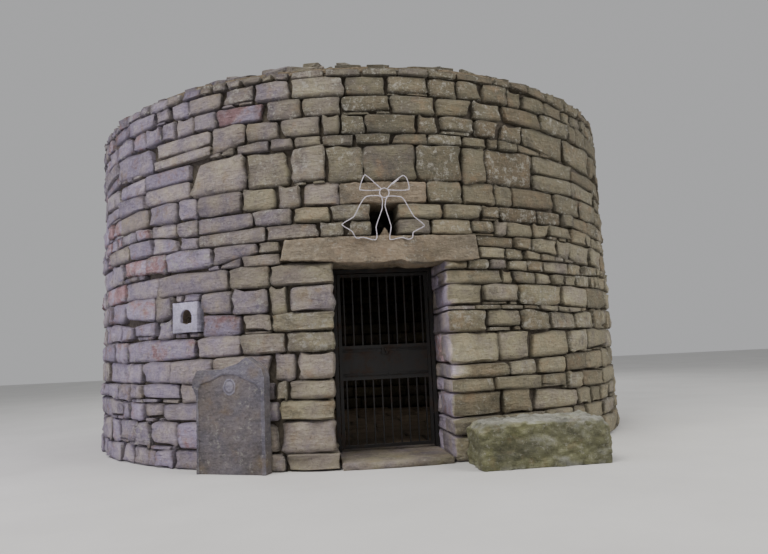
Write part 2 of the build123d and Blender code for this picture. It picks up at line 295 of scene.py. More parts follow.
def fieldStone(name, hues, shade=1.0, lichenAmount=1.0, laid=True, strata=0.6):
    look = Finish(name)
    # red is brightness, green hue, blue age, and alpha how far a point is from the stone's edge
    tone = look.add("ShaderNodeVertexColor", {"layer_name": "stoneTone"}, {}, "Color")
    heart = Signal(look, tone.socket.node.outputs["Alpha"])
    bright = look.add("ShaderNodeSeparateColor", {}, {"Color": tone}, "Red")
    hue = Signal(look, bright.socket.node.outputs["Green"])
    age = Signal(look, bright.socket.node.outputs["Blue"])
    if not laid:  # one big stone: its brightness and hue wander over it
        bright = bright * (look.noise(1.6, 4, 0.65) * 1.0 + 0.5)
        hue = hue + (look.noise(1.1, 3) - 0.5) * 1.4
        age = look.noise(1.7, 2)
    flat = look.add("ShaderNodeMapping", {}, {"Vector": look.place, "Scale": (1.0, 1.0, 3.2)}, 0)
    broad = look.noise(6, 5, 0.65)
    beds = look.noise(9, 7, 0.7, flat)
    grain = look.noise(38, 6, 0.72)
    fine = look.noise(150, 3, 0.6)
    patch = look.noise(3.2, 6, 0.72)
    colour = look.ramp(hue + (broad - 0.5) * 0.7 + (patch - 0.5) * 0.6, *hues)
    value = bright * shade * (patch * 1.35 + broad * 0.9 + beds * 0.7 + grain * 1.0 + fine * 0.3 - 1.125)
    colour = look.mix(1.0, colour, look.grey(value), "MULTIPLY")
    pits = (look.noise(52, 4, 0.7) - age * 0.04).between(0.60, 0.68) * 0.6
    # painted shade: darker towards each stone's edge, read from the alpha of its tone
    paintedEdgeShade = (grain * 0.7 - heart * 0.8 + 0.35).between(0.05, 0.75) * 0.5
    stains = (
        ("ochre", look.noise(4.4, 6, 0.7).between(0.54, 0.70) * (0.5 * lichenAmount)),
        ("moss", look.noise(2.2, 5, 0.65).between(0.55, 0.72) * (0.28 * lichenAmount)),
        # weather-blackened patches, and painted shade towards the edges, where the joints shade the stone
        ("darkLichenAndShade", (look.noise(3.4, 8, 0.72) + age * 0.06).between(0.55, 0.72) * (0.55 * lichenAmount)),
        ("darkLichenAndShade", paintedEdgeShade),
        # pale lichen in ragged spots, more on older stones
        ("lichen", (look.noise(14, 8, 0.78) + age * 0.09).between(0.60, 0.69) * (0.62 * lichenAmount)),
        ("lichen", (look.noise(31, 4, 0.8) + age * 0.05).between(0.63, 0.70) * (0.55 * lichenAmount)),
        ("darkLichenAndShade", pits),
    )
    for stain, amount in stains:
        colour = look.mix(amount, colour, stoneLook[stain])
    cracks = look.cells(9, "DISTANCE_TO_EDGE", flat).between(0.0, 0.03)
    height = broad * 0.5 + beds * (0.5 + strata) + look.noise(24, 8, 0.74) * 0.7 + grain * 0.3 + fine * 0.08
    height = height - pits * 0.10 + cracks * 0.08
    return look.finish(colour, 0.84 + grain * 0.14, height, 1.0, 0.045)


def earth(name):
    look = Finish(name)
    broad = look.noise(2.3, 6, 0.7)
    grain = look.noise(60, 5, 0.75)
    crumbs = look.cells(38)
    soil = ((0.25, (0.075, 0.058, 0.038)), (0.5, (0.15, 0.118, 0.078)), (0.75, (0.235, 0.19, 0.125)))
    colour = look.ramp(broad * 0.6 + grain * 0.4, *soil)
    moss = look.noise(3.1, 5, 0.7).between(0.55, 0.66) * 0.5
    colour = look.mix(moss, colour, stoneLook["moss"])
    return look.finish(colour, 0.95, grain * 0.6 + crumbs * 0.5 + broad, 1.0, 0.03)


def shadeFill(name):  # what is seen deep in the joints: a real rubble core, near black as painted shade
    look = Finish(name)
    grain = look.noise(30, 4)
    return look.finish(look.ramp(grain, (0.3, (0.036, 0.03, 0.023)), (0.7, (0.09, 0.075, 0.056))), 1.0,
                       grain, 0.6, 0.02)


def oldIron(name, rust=0.5):
    look = Finish(name)
    blotch = look.noise(9, 7, 0.72)
    grain = look.noise(120, 4, 0.7)
    rusty = (blotch + (grain - 0.5) * 0.3 + rust * 0.3).between(0.60, 0.78)
    paint = look.ramp(grain, (0.3, (0.014, 0.0135, 0.0135)), (0.7, (0.028, 0.026, 0.026)))
    rustColour = look.ramp(look.noise(45, 5, 0.7), (0.3, (0.022, 0.014, 0.010)), (0.7, (0.052, 0.030, 0.021)))
    colour = look.mix(rusty, paint, rustColour)
    look.feed(look.shader.inputs["Metallic"], 0.35 - rusty * 0.3)
    return look.finish(colour, 0.5 + rusty * 0.4, grain * 0.5 + rusty * 0.5, 0.5, 0.002)


def whiteWire(name):
    look = Finish(name)
    dirt = look.noise(40, 5, 0.7)
    colour = look.ramp(dirt, (0.35, (0.36, 0.33, 0.37)), (0.6, (0.62, 0.58, 0.64)))
    return look.finish(colour, 0.45 + dirt * 0.2, dirt, 0.3, 0.001)


def paleGround(name):
    look = Finish(name)
    cloud = look.noise(0.8, 4)
    return look.finish(look.ramp(cloud, (0.3, (0.56, 0.555, 0.54)), (0.7, (0.62, 0.615, 0.60))), 0.9)


warmHues = (
    (0.0, (0.29, 0.25, 0.19)),
    (0.35, (0.345, 0.285, 0.20)),
    (0.7, (0.325, 0.25, 0.172)),
    (1.0, (0.27, 0.205, 0.145)),
)
paleHues = (
    (0.0, (0.42, 0.41, 0.55)),
    (0.5, (0.49, 0.465, 0.60)),
    (0.8, (0.43, 0.40, 0.50)),
    (1.0, (0.27, 0.215, 0.165)),
)
markerHues = (
    (0.0, (0.285, 0.27, 0.33)),
    (0.35, (0.262, 0.245, 0.28)),
    (0.6, (0.258, 0.225, 0.225)),
    (1.0, (0.215, 0.18, 0.14)),
)
benchHues = (
    (0.0, (0.238, 0.238, 0.20)),
    (0.35, (0.214, 0.214, 0.124)),
    (0.65, (0.176, 0.178, 0.084)),
    (1.0, (0.132, 0.132, 0.056)),
)
finishes = {
    "wall": fieldStone("wallLimestone", stoneLook["hues"]),
    "vault": fieldStone("vaultLimestone", stoneLook["hues"], 0.85, 0.4),
    "lintel": fieldStone("lintelLimestone", warmHues, 0.715, 1.0, False),
    "head": fieldStone("headLimestone", warmHues, 0.66, 1.0, False),
    "pale": fieldStone("plaqueLimestone", paleHues, 1.0, 0.55, False, 0.1),
    "marker": fieldStone("markerLimestone", markerHues, 0.60, 0.6, False, 0.1),
    "bench": fieldStone("benchLimestone", benchHues, 0.78, 0.75, False),
    "floor": fieldStone("floorLimestone", warmHues, 0.8, 0.2),
    "slab": fieldStone("slabLimestone", stoneLook["hues"], 0.85, 0.7, False),
    "earth": earth("roofEarth"),
    "joint": shadeFill("jointFill"),
    "iron": oldIron("gateIron", 0.35),
    "rustyIron": oldIron("gatePanelRust", 0.5),
    "wire": whiteWire("wireCoating"),
    "ground": paleGround("groundPaint"),
}
print("materials made")


# master stones: cut once, then laid many times in other sizes
masterLook = {  # shares of the stone's thinnest side
    "edge": 0.10,
    "shake": 0.05,
    "lumpSize": 0.8,
    "lumpHigh": 0.32,
}


def cutMaster(size, seed, fine=True):
    stone = newShape(bpy.ops.mesh.primitive_cube_add, size, size=1)
    stone.name = f"master{seed}"
    thin = min(size)
    if fine:  # two cuts across the width and the height, and the depth in one length
        height = [vertex.co.z for vertex in stone.data.vertices]
        choose(stone, "EDGE", lambda edge: height[edge.vertices[0]] == height[edge.vertices[1]])
        bpy.ops.mesh.subdivide(number_cuts=2)
        bpy.ops.mesh.select_mode(type="VERT")
        leaveEdit()
    applyModifier(stone, "BEVEL", width=masterLook["edge"] * thin, segments=1, limit_method="ANGLE",
                  angle_limit=math.radians(50))
    editAll(stone)
    shake = masterLook["shake"] * thin
    bpy.ops.transform.vertex_random(offset=shake, uniform=0.5, normal=0.3, seed=seed)
    leaveEdit()
    roughen(stone, masterLook["lumpSize"] * thin, masterLook["lumpHigh"] * thin)
    unit = pointsOf(stone).astype(float) / np.array(size) + 0.5
    faces = [tuple(face.vertices) for face in stone.data.polygons]
    bpy.data.objects.remove(stone)
    return unit, faces


masterSizes = {
    "thin": (0.42, 0.09, 0.26),
    "long": (0.46, 0.18, 0.26),
    "block": (0.27, 0.19, 0.26),
    "big": (0.40, 0.32, 0.26),
}
masters = {}
seed = 1
for kind, size in masterSizes.items():
    for fine in (True, False):
        masters[kind, fine] = []
        for turn in range(6 if fine else 3):
            masters[kind, fine].append(cutMaster(size, seed, fine))
            seed += 1
print("master stones cut")


class Heap:  # stones waiting to be joined into one mesh
    def __init__(self):
        self.points = []
        self.faces = []
        self.tones = []
        self.count = 0

    def lay(self, corners, tone, fine=True, skylitEndTone=None):
        # corners[side, height, depth]: side 0 left, height 0 bottom, depth 1 at the face that shows
        box = np.array(corners, float).reshape(2, 2, 2, 3)
        across = box[1, 0, 1] - box[0, 0, 1]
        up = box[0, 1, 1] - box[0, 0, 1]
        out = box[0, 0, 1] - box[0, 0, 0]
        turned = np.dot(np.cross(across, up), out) < 0
        if turned:
            box = box[::-1]
        wide, high, deep = (np.linalg.norm(edge) for edge in (across, up, out))
        if high < 0.35 * wide and high < 0.12:
            kind = "thin"
        elif high > 0.25:
            kind = "big"
        elif wide > 1.8 * high:
            kind = "long"
        else:
            kind = "block"
        unit, faces = dice.choice(masters[kind, fine])
        if dice.random() < 0.5:  # turned upside down and left to right
            unit = unit * (-1, -1, 1) + (1, 1, 0)
        u, v, w = unit[:, 0:1], unit[:, 1:2], unit[:, 2:3]
        points = 0
        for i in (0, 1):
            for j in (0, 1):
                for k in (0, 1):
                    share = (u if i else 1 - u) * (v if j else 1 - v) * (w if k else 1 - w)
                    points = points + share * box[i, j, k]
        # how far a point lies in from the edges of the face; the material paints shade near the edges with it
        inward = np.minimum(np.minimum(u, 1 - u) * wide, np.minimum(v, 1 - v) * high)
        heart = np.clip(inward / 0.035, 0, 1)
        self.faces += [tuple(n + self.count for n in face) for face in faces]
        self.points.append(points)
        tones = np.tile(tone, (len(points), 1))
        if skylitEndTone:  # the end that faces the doorway, painted with the reveal's sky light
            fromEnd = (1 - u if turned else u)[:, 0] * wide
            tones[(fromEnd < 0.07 * wide) & (fromEnd < (1 - w[:, 0]) * deep)] = skylitEndTone
        self.tones.append(np.hstack((tones, heart)))
        self.count += len(points)

    def join(self, name, finish, body, slot, replaced=(), angle=58):
        mesh = bpy.data.meshes.new(name)
        points = np.concatenate(self.points)
        points[:, 2] = np.maximum(points[:, 2], 0)  # none reaches below the ground
        mesh.from_pydata(points.tolist(), [], self.faces)
        piece = newObject(name, mesh)
        paintTones(piece, np.concatenate(self.tones))
        roundOff(piece, angle)
        return dress(piece, finish, body, replaced)


def dress(piece, finish, body, replaced=()):
    piece.data.materials.clear()
    piece.data.materials.append(finishes[finish])
    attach(piece, body)
    if replaced:
        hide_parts(*replaced)
    return piece


# layout of the stones
wallLook = {
    "bedGap": (0.002, 0.010),  # half of a level joint
    "bedGapShare": 0.12,  # the most it takes of a stone's height
    "endGap": (0.002, 0.024),  # half of an upright joint, chosen for each corner
    "long": (0.13, 0.72),  # a stone's length
    "longShare": (0.9, 3.1),  # the same as a share of its height, which counts as lowest or more
    "lowest": 0.07,
    "bond": 0.05,  # a joint this near to one in the row below moves on
    "moveOn": 0.08,
    "seam": 0.35,  # how far from the middle of the back the two sides meet
    "splitHigh": 0.27,  # a stone higher than this, this far from the door, is often two stones
    "splitFrom": 1.6,
    "splitShare": 0.75,
    "splitAt": (0.35, 0.65),
    "splitTilt": 0.05,
    "cutShare": 0.40,  # stones with a corner knocked off
    "cutWide": (0.3, 0.2),  # how much of it goes at most, as shares of the stone's height and width
    "cutHigh": (0.04, 0.13),  # the same upwards, in metres and as a share of the height
    "proud": (-0.022, 0.006),  # how far a stone stands from the wall's face
    "uneven": (-0.008, 0.006),  # the same for each of its corners
    "depth": (0.20, 0.30),
    "shimFrom": 0.14,  # height from which a stone may be packed up on thin shims
    "shimShare": 0.11,
    "shim": (0.024, 0.042),
    "shimLength": (0.13, 0.42),
    "shimGap": 0.05,
    "shimBack": 0.014,
    "thinnest": 0.036,  # rows thinner than this are left out
    "wander": 0.05,  # how far the beds wander up and down, away from the door
    "mainWander": 0.012,  # the same for the beds that the solids show
    "near": 1.25,  # distance from the door's middle at which the beds start to change
    "far": 2.1,
    "quoin": 1.14,  # where the stones beside the doorway end, unless a joint is given
}
# heights of the beds beside the door and further round, at its left and right, and over it
leftBeds = (0, 0.16, 0.44, 0.625, 0.80, 1.05, 1.235, 1.41, 1.41, 1.655, 1.655, hut["spring"])
leftFar = (0, 0.20, 0.44, 0.62, 0.80, 1.02, 1.235, 1.44, 1.45, 1.655, 1.66, hut["spring"])
rightBeds = (0, 0.235, 0.385, 0.615, 0.74, 0.88, 1.17, 1.375, 1.42, 1.62, 1.76, hut["spring"])
rightFar = (0, 0.21, 0.385, 0.58, 0.74, 0.95, 1.17, 1.37, 1.40, 1.62, 1.75, hut["spring"])
upperBeds = (
    hut["spring"], 1.975, hut["lintelTop"], 2.235, hut["ventTop"], hut["headTop"] + 0.008, 2.955, 3.06, 3.245,
    3.432, 3.625, hut["wallTop"],
)
upperFar = (
    hut["spring"], 1.87, hut["lintelTop"], 2.24, hut["ventTop"], hut["headTop"], 2.955, 2.96, 3.245, 3.432,
    3.60, hut["wallTop"],
)
mainBeds = (2, 4, 6, 9)
upperMainBeds = (2, 4, 5, 6, 8, 9)
# joints outwards from the middle of the door along the face, as in the photograph, row by row
leftJoints = (
    (1.02, 1.7), (1.06, 1.5, 2.2), (1.08, 1.6, 2.4), (0.98, 1.10, 1.6), (0.90, 1.12, 1.75, 2.3, 2.78, 3.69),
    (1.0, 1.44, 1.95, 3.06), (1.13, 1.43, 1.87, 2.24, 2.5, 2.9), (),
    (0.96, 1.15, 1.52, 1.86, 2.23, 2.52, 3.15), (), (1.14, 1.56, 2.47, 3.17, 3.82),
)
rightJoints = (
    (1.12,), (1.05, 1.6), (1.05, 1.41), (0.97, 1.55, 1.97), (1.16, 1.51, 1.96), (1.05, 1.43, 2.03),
    (0.94, 1.35, 1.77, 2.21), (0.82, 1.10), (0.91, 1.33), (1.14,), (0.76, 1.0),
)
upperLeft = (
    (1.42,), (1.25, 1.75, 2.35, 2.68, 3.21), (0.41, 0.66, 1.18, 1.92, 2.18, 2.58, 3.04),
    (0.54, 0.9, 1.3, 1.92, 2.21, 2.61, 2.88), (0.81, 1.05, 1.41, 1.92, 2.18, 2.64, 3.27),
    (0.22, 0.57, 0.90, 1.37), (0.29, 0.60, 0.87, 1.12), (0.18, 0.42, 0.60, 1.01, 1.36), (0.40, 0.78, 1.14),
    (0.37, 0.90), (0.20, 0.55, 0.90),
)
upperRight = (
    (1.2,), (1.32,), (0.40, 0.82), (0.53, 0.95), (0.75, 1.12), (0.31, 0.76, 1.03), (0.06, 0.42, 0.78, 1.07),
    (0.32, 0.55, 0.93, 1.22), (0.07, 0.52, 0.92, 1.28), (0.03, 0.45, 0.76, 1.04, 1.37),
    (0.15, 0.46, 0.77, 1.20),
)
half = math.pi * hut["outer"]  # half the way round the outside
wavePhases = [[dice.uniform(0, 2 * math.pi) for wave in range(4)] for bed in range(30)]


def smooth(value):
    value = min(1, max(0, value))
    return value * value * (3 - 2 * value)


def wrap(along):
    return (along + half) % (2 * half) - half


def waves(bed, along):
    angle = along / hut["outer"]
    parts = zip((5, 8, 13, 21), (0.4, 0.3, 0.2, 0.12), wavePhases[bed])
    return sum(size * math.sin(count * angle + phase) for count, size, phase in parts)


def bedHeight(near, far, main, bed, along, number):
    share = smooth((abs(along) - wallLook["near"]) / (wallLook["far"] - wallLook["near"]))
    height = near[bed] + (far[bed] - near[bed]) * share
    if 0 < bed < len(near) - 1:
        height += waves(number, along) * share * wallLook["mainWander" if bed in main else "wander"]
    return height


def lowerBed(bed, along):
    along = wrap(along)
    left = bedHeight(leftBeds, leftFar, mainBeds, bed, along, bed)
    right = bedHeight(rightBeds, rightFar, mainBeds, bed, along, bed)
    toOther = 0.5 * smooth((abs(along) - half + 0.6) / 0.6)  # left and right meet at the back
    return left + (right - left) * (toOther if along < 0 else 1 - toOther)


def upperBed(bed, along):
    return bedHeight(upperBeds, upperFar, upperMainBeds, bed, wrap(along), bed + len(leftBeds))


def faceRadius(height):
    return hut["outer"] - hut["lean"] * height


def onFace(along, height, radius):
    angle = along / hut["outer"]
    return radius * math.sin(angle), -radius * math.cos(angle), height


toneLook = {
    "bright": (0.97, 0.15),  # middle and spread
    "atFoot": 1.18,  # painted shade: what it is multiplied by at the foot, and what that loses with each metre of height
    "perMetre": 0.085,
    "limits": (0.60, 1.35),
    "hue": 0.61,
    "hueSpread": 0.085,
    "upper": (1.9, 0.5),  # where the upper wall's tone begins, and how far it takes to fade in
    "upperHue": 0.10,
    # painted shade over the upper wall
    "upperShade": 0.30,
    "right": (-12, 32),  # the same for the browner right side, by the angle round the hut
    "rightHue": 0.16,
    "left": (8, 38),  # the same for the mauve left side, whose mauve and extra brightness are painted light from the sky
    "leftSkyHue": 0.41,
    "leftSpread": 0.09,
    "leftSkyLight": 0.13,
    "back": (100, 75),  # where the left side's tone goes, and how much of it
    "backShare": 0.8,
    "patch": (-66, -49, 1.6, 2.5),  # angles and heights of the patch of red stones
    "red": 0.01,
    "redInPatch": 0.30,
    "redElsewhere": 0.012,
    # mauve of the doorway's sides, which at the right is painted light from the sky
    "revealHue": (0.26, 0.10),
    "leftReveal": 0.33,  # what the left side of the doorway adds to that
    "rightReveal": (1.75, 0.55),  # painted light: brightness at the foot of the right side, and what it gains per metre
    "rightBrightest": 2.8,
}


def fade(value, place):  # 0 up to where it begins, and 1 from where it ends
    begins, takes = place
    return smooth((value - begins) / takes)


def toneAt(along, height=2.0, place="face"):  # brightness, hue and age of one stone: darker higher up, as painted shade
    look = toneLook
    angle = math.degrees(wrap(along) / hut["outer"])
    bright = dice.gauss(*look["bright"]) * (look["atFoot"] - look["perMetre"] * height)
    upper = fade(height, look["upper"])
    hue = look["hue"] + look["upperHue"] * upper + look["rightHue"] * fade(angle, look["right"])
    hue = dice.gauss(hue, look["hueSpread"])
    darkest, brightest = look["limits"]
    if place == "reveal":
        hue = dice.gauss(*look["revealHue"])
        if angle > 0:  # painted sky light at the right: mauve, and paler higher up, where less light comes in
            bright *= look["rightReveal"][0] + look["rightReveal"][1] * height
            brightest = look["rightBrightest"]
        else:
            hue += look["leftReveal"]
    elif angle < -look["left"][0]:  # mauve and brighter as painted sky light, with a patch of red stones, and mixed at the back
        toLeft = fade(-angle, look["left"]) * (1 - look["backShare"] * fade(-angle, look["back"]))
        hue = dice.gauss(look["hue"] - look["leftSkyHue"] * toLeft, look["leftSpread"])
        bright *= 1 + look["leftSkyLight"] * toLeft
        start, stop, low, high = look["patch"]
        inPatch = start < angle < stop and low < height < high
        if dice.random() < (look["redInPatch"] if inPatch else look["redElsewhere"] * toLeft):
            hue = look["red"]
    else:
        # painted shade: darker over the upper wall
        bright *= 1 - look["upperShade"] * upper
    return min(brightest, max(darkest, bright)), min(1, max(0, hue)), dice.random()


def spread(bed, row, side, start, stop, given, before):
    # joints of one row on one side of the door: the given ones first, then chosen to miss those below
    shortest, longest = wallLook["long"]
    joints = [start] + [joint for joint in given if joint > start + wallLook["moveOn"]]
    while joints[-1] < stop:
        high = bed(row + 1, side * joints[-1]) - bed(row, side * joints[-1])
        long = max(high, wallLook["lowest"]) * dice.uniform(*wallLook["longShare"])
        place = joints[-1] + min(longest, max(shortest, long))
        if any(abs(place - other) < wallLook["bond"] for other in before):
            place += wallLook["moveOn"]
        if place > stop - shortest:
            place = stop
        joints.append(place)
    return joints


def tallness(low, high):  # middle height of a stone from its beds' heights at left and right
    return (high[0] + high[1] - low[0] - low[1]) / 2


def layRow(heaps, bed, row, side, joints, gaps=()):
    for near, away in zip(joints, joints[1:]):
        left, right = sorted((side * near, side * away))
        middle = (left + right) / 2
        if any(start - 0.03 < middle < stop + 0.03 for start, stop in gaps):
            continue
        low = (bed(row, left), bed(row, right))
        high = (bed(row + 1, left), bed(row + 1, right))
        tall = tallness(low, high)
        if tall < wallLook["thinnest"]:
            continue
        mayBeTwo = tall > wallLook["splitHigh"] and abs(middle) > wallLook["splitFrom"]
        if mayBeTwo and dice.random() < wallLook["splitShare"]:
            cut = dice.uniform(*wallLook["splitAt"])
            tilt = wallLook["splitTilt"]
            joint = tuple(a + (b - a) * (cut + dice.uniform(-tilt, tilt)) for a, b in zip(low, high))
            layStone(heaps, left, right, low, joint)
            layStone(heaps, left, right, joint, high)
        else:
            layStone(heaps, left, right, low, high)


def chooseHeap(heaps, along):
    return heaps[min(len(heaps) - 1, int((wrap(along) / half + 1) / 2 * len(heaps)))]


def layStone(heaps, left, right, low, high):
    heap = chooseHeap(heaps, (left + right) / 2)
    lift = 0
    if tallness(low, high) > wallLook["shimFrom"] and dice.random() < wallLook["shimShare"]:
        lift = dice.uniform(*wallLook["shim"])
        start = left
        while start < right - wallLook["shimGap"]:
            stop = min(right, start + dice.uniform(*wallLook["shimLength"]))
            base = low[0] + (low[1] - low[0]) * (start - left) / (right - left)
            placeStone(heap, start, stop, (base, base), (base + lift, base + lift), wallLook["shimBack"])
            start = stop + dice.uniform(0, wallLook["shimGap"])
    placeStone(heap, left, right, (low[0] + lift, low[1] + lift), high, 0)


def placeStone(heap, left, right, low, high, back):
    wide = right - left
    tall = tallness(low, high)
    proud = dice.uniform(*wallLook["proud"]) - back
    depth = dice.uniform(*wallLook["depth"])
    bedGap = min(wallLook["bedGap"][1], wallLook["bedGapShare"] * tall)
    cutCorner = dice.choice((0, 1, 2, 3)) if dice.random() < wallLook["cutShare"] else None
    cutWide = min(wallLook["cutWide"][0] * tall, wallLook["cutWide"][1] * wide)
    cutHigh = min(wallLook["cutHigh"][0], wallLook["cutHigh"][1] * tall)
    corners = []
    for side, along in ((0, left), (1, right)):
        inward = 1 - 2 * side
        for top in (0, 1):
            gap = dice.uniform(wallLook["bedGap"][0], bedGap)
            height = high[side] - gap if top else low[side] + gap
            place = along + inward * dice.uniform(*wallLook["endGap"])
            if cutCorner == 2 * side + top:  # one corner is knocked off a little
                place += inward * cutWide * dice.uniform(0.5, 1)
                height += (1 - 2 * top) * cutHigh * dice.uniform(0.3, 1)
            for deep in (depth, 0):
                radius = faceRadius(height) + proud + dice.uniform(*wallLook["uneven"]) - deep
                corners.append(onFace(place, height, radius))
    heap.lay(corners, toneAt((left + right) / 2, low[0]))


def spanOf(left, right):  # where two x positions lie along the face
    return tuple(math.asin(x / hut["outer"]) * hut["outer"] for x in (left, right))


# outer face of the wall, in several joined pieces
outerHeaps = [Heap() for part in range(8)]
lintelSpan = spanOf(hut["lintelLeft"], hut["lintelRight"])
ventSpan = spanOf(hut["ventLeft"], hut["ventRight"])
headSpan = spanOf(hut["headLeft"], hut["headRight"])
nicheLow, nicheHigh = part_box("niche_stone")
nicheMiddle = math.atan2((nicheLow.x + nicheHigh.x) / 2, -(nicheLow.y + nicheHigh.y) / 2) * hut["outer"]
nicheHalf = 0.175
nicheRows = (6, 7, 8)  # rows that stop at the niche stone
nicheSpan = (nicheMiddle - nicheHalf, nicheMiddle + nicheHalf)


def atNiche(joint):
    return -nicheSpan[1] - 0.1 < joint < -nicheSpan[0] + 0.1


before = {-1: [], 1: []}
for row in range(len(leftBeds) - 1):
    seam = half + dice.uniform(-wallLook["seam"], wallLook["seam"])
    for side, given in ((-1, leftJoints[row]), (1, rightJoints[row])):
        stop = seam if side > 0 else 2 * half - seam
        start = given[0] if given else wallLook["quoin"]
        gaps = (nicheSpan,) if side < 0 and row in nicheRows else ()
        joints = spread(lowerBed, row, side, start, stop, given, before[side])
        if gaps:
            joints = [joint for joint in joints if not atNiche(joint)]
            joints = sorted({*joints, -nicheSpan[0], -nicheSpan[1]})
        layRow(outerHeaps, lowerBed, row, side, joints, gaps)
        before[side] = joints
# packing under and over the niche stone
for low, high in ((leftFar[nicheRows[0]], nicheLow.z), (nicheHigh.z, leftFar[nicheRows[-1] + 1])):
    middle = nicheMiddle + dice.uniform(-0.05, 0.05)
    for left, right in ((nicheSpan[0], middle), (middle, nicheSpan[1])):
        placeStone(chooseHeap(outerHeaps, nicheMiddle), left, right, (low, low), (high, high), 0.01)
gapsOver = (lintelSpan, lintelSpan, ventSpan, ventSpan, headSpan)
before = {-1: [], 1: []}
for row in range(len(upperBeds) - 1):
    seam = half + dice.uniform(-wallLook["seam"], wallLook["seam"])
    for side, given in ((-1, upperLeft[row]), (1, upperRight[row])):
        stop = seam if side > 0 else 2 * half - seam
        if row < len(gapsOver):
            start = abs(gapsOver[row][0 if side < 0 else 1])
        else:
            start = side * upperRight[row][0]
        joints = spread(upperBed, row, side, start, stop, given, before[side])
        layRow(outerHeaps, upperBed, row, side, joints)
        before[side] = joints
print("outer face laid")


# stones beside the doorway: quoins in front and the reveal behind them
quoinLook = {
    "gap": (0.002, 0.008),
    "splay": 0.05,  # how much wider the doorway is low down, at the left
    "middle": 0.8,  # where along the face they take their tone from
    "deep": (0.54, 0.36),  # in every other row
    "proud": (-0.014, 0.004),
    "endGap": (0.004, 0.02),
    "back": 0.010,  # how far a quoin may stand back from the doorway, and a stone behind it
    "revealBack": 0.014,
    "slab": 0.06,  # a stone thinner than this is a pale slab
    "slabTone": (1.35, 0.5, 1.0),
    "thick": 0.30,
}
frontLine = -math.sqrt(hut["outer"] ** 2 - hut["doorHalf"] ** 2)
backLine = -math.sqrt(hut["inner"] ** 2 - hut["doorHalf"] ** 2)


def tidyGap():
    return dice.uniform(*quoinLook["gap"])


def doorEdge(side, height):  # the splay isn't on the right, or beside the threshold
    splayed = side < 0 and height > leftBeds[1]
    return hut["doorHalf"] + (quoinLook["splay"] * (1 - height / hut["spring"]) if splayed else 0)


def layQuoin(heap, side, low, high, stop, depth):
    radius = faceRadius((low + high) / 2) + dice.uniform(*quoinLook["proud"])
    corners = []
    for outer in (0, 1):
        for top in (0, 1):
            z = high - tidyGap() if top else low + tidyGap()
            for deep in (depth, 0):
                if outer:
                    x, y, z = onFace(stop - dice.uniform(*quoinLook["endGap"]), z, radius - deep)
                else:
                    x = doorEdge(side, z) + dice.uniform(0, quoinLook["back"])
                    y = deep - math.sqrt(radius * radius - x * x)
                corners.append((side * x, y, z))
    tone = toneAt(side * quoinLook["middle"], low)
    if high - low < quoinLook["slab"]:
        tone = quoinLook["slabTone"]
    # the quoin's end at the right takes the reveal's painted sky light
    skylitEnd = toneAt(side, low, "reveal")
    heap.lay(corners, tone, True, skylitEnd if side > 0 else None)


def layReveal(heap, side, low, high, front, reach):
    corners = []
    for y in (front + tidyGap(), front + reach - tidyGap()):
        for z in (low + tidyGap(), high - tidyGap()):
            edge = doorEdge(side, z)
            for x in (edge + quoinLook["thick"], edge + dice.uniform(0, quoinLook["revealBack"])):
                corners.append((side * x, y, z))
    heap.lay(corners, toneAt(side, low, "reveal"))


for side, beds, joints in ((-1, leftBeds, leftJoints), (1, rightBeds, rightJoints)):
    heap = chooseHeap(outerHeaps, side * quoinLook["middle"])
    for row, (low, high) in enumerate(zip(beds, beds[1:])):
        if high - low < wallLook["thinnest"]:
            continue
        depth = quoinLook["deep"][row % 2]
        layQuoin(heap, side, low, high, joints[row][0] if joints[row] else wallLook["quoin"], depth)
        pieces = 2 if row % 3 else 1
        reach = (backLine - frontLine - depth) / pieces
        for piece in range(pieces):
            layReveal(heap, side, low, high, frontLine + depth + reach * piece, reach)
print("quoins laid")

# sides and cover of the vent behind the face, darkened as painted shade inside the vent
ventLook = {
    "sideJoints": (-3.05, -2.72, -2.42, -2.2),  # from front to back
    "coverJoints": (-2.92, -2.55, -2.15),
    "beds": (hut["lintelTop"], upperBeds[3], hut["ventTop"]),
    "endGap": 0.005,
    "bedGap": 0.006,
    "thick": 0.22,
    "over": 0.2,  # how far the cover reaches over the sides
    "coverThick": 0.12,
    # painted shade inside the vent
    "dark": 0.45,
}
ventHeap = chooseHeap(outerHeaps, -0.1)


def layInVent(corners):
    # darker as painted shade inside the vent
    bright, hue, age = toneAt(0)
    ventHeap.lay(corners, (ventLook["dark"] * bright, hue, age), False)


def spansOf(joints):  # from each joint to the next, less the gaps
    gap = ventLook["endGap"]
    return [(front + gap, rear - gap) for front, rear in zip(joints, joints[1:])]


for side, x in ((-1, hut["ventLeft"]), (1, hut["ventRight"])):
    edges = (x + side * ventLook["thick"], x)
    for low, high in zip(ventLook["beds"], ventLook["beds"][1:]):
        heights = (low + ventLook["bedGap"], high - ventLook["bedGap"])
        for span in spansOf(ventLook["sideJoints"]):
            layInVent([(edge, y, z) for y in span for z in heights for edge in edges])
edges = (hut["ventLeft"] - ventLook["over"], hut["ventRight"] + ventLook["over"])
heights = (hut["ventTop"] + ventLook["coverThick"], hut["ventTop"])
for span in spansOf(ventLook["coverJoints"]):
    layInVent([(edge, y, z) for edge in edges for y in span for z in heights])

wallNames = [*lowerNames, *upperNames]
wallNames += ["vent_wall_left", "vent_wall_right", "door_jamb_left", "door_jamb_right"]
for number, heap in enumerate(outerHeaps):
    heap.join(f"outerStones{number + 1}", "wall", "root", "wall_stone", wallNames)


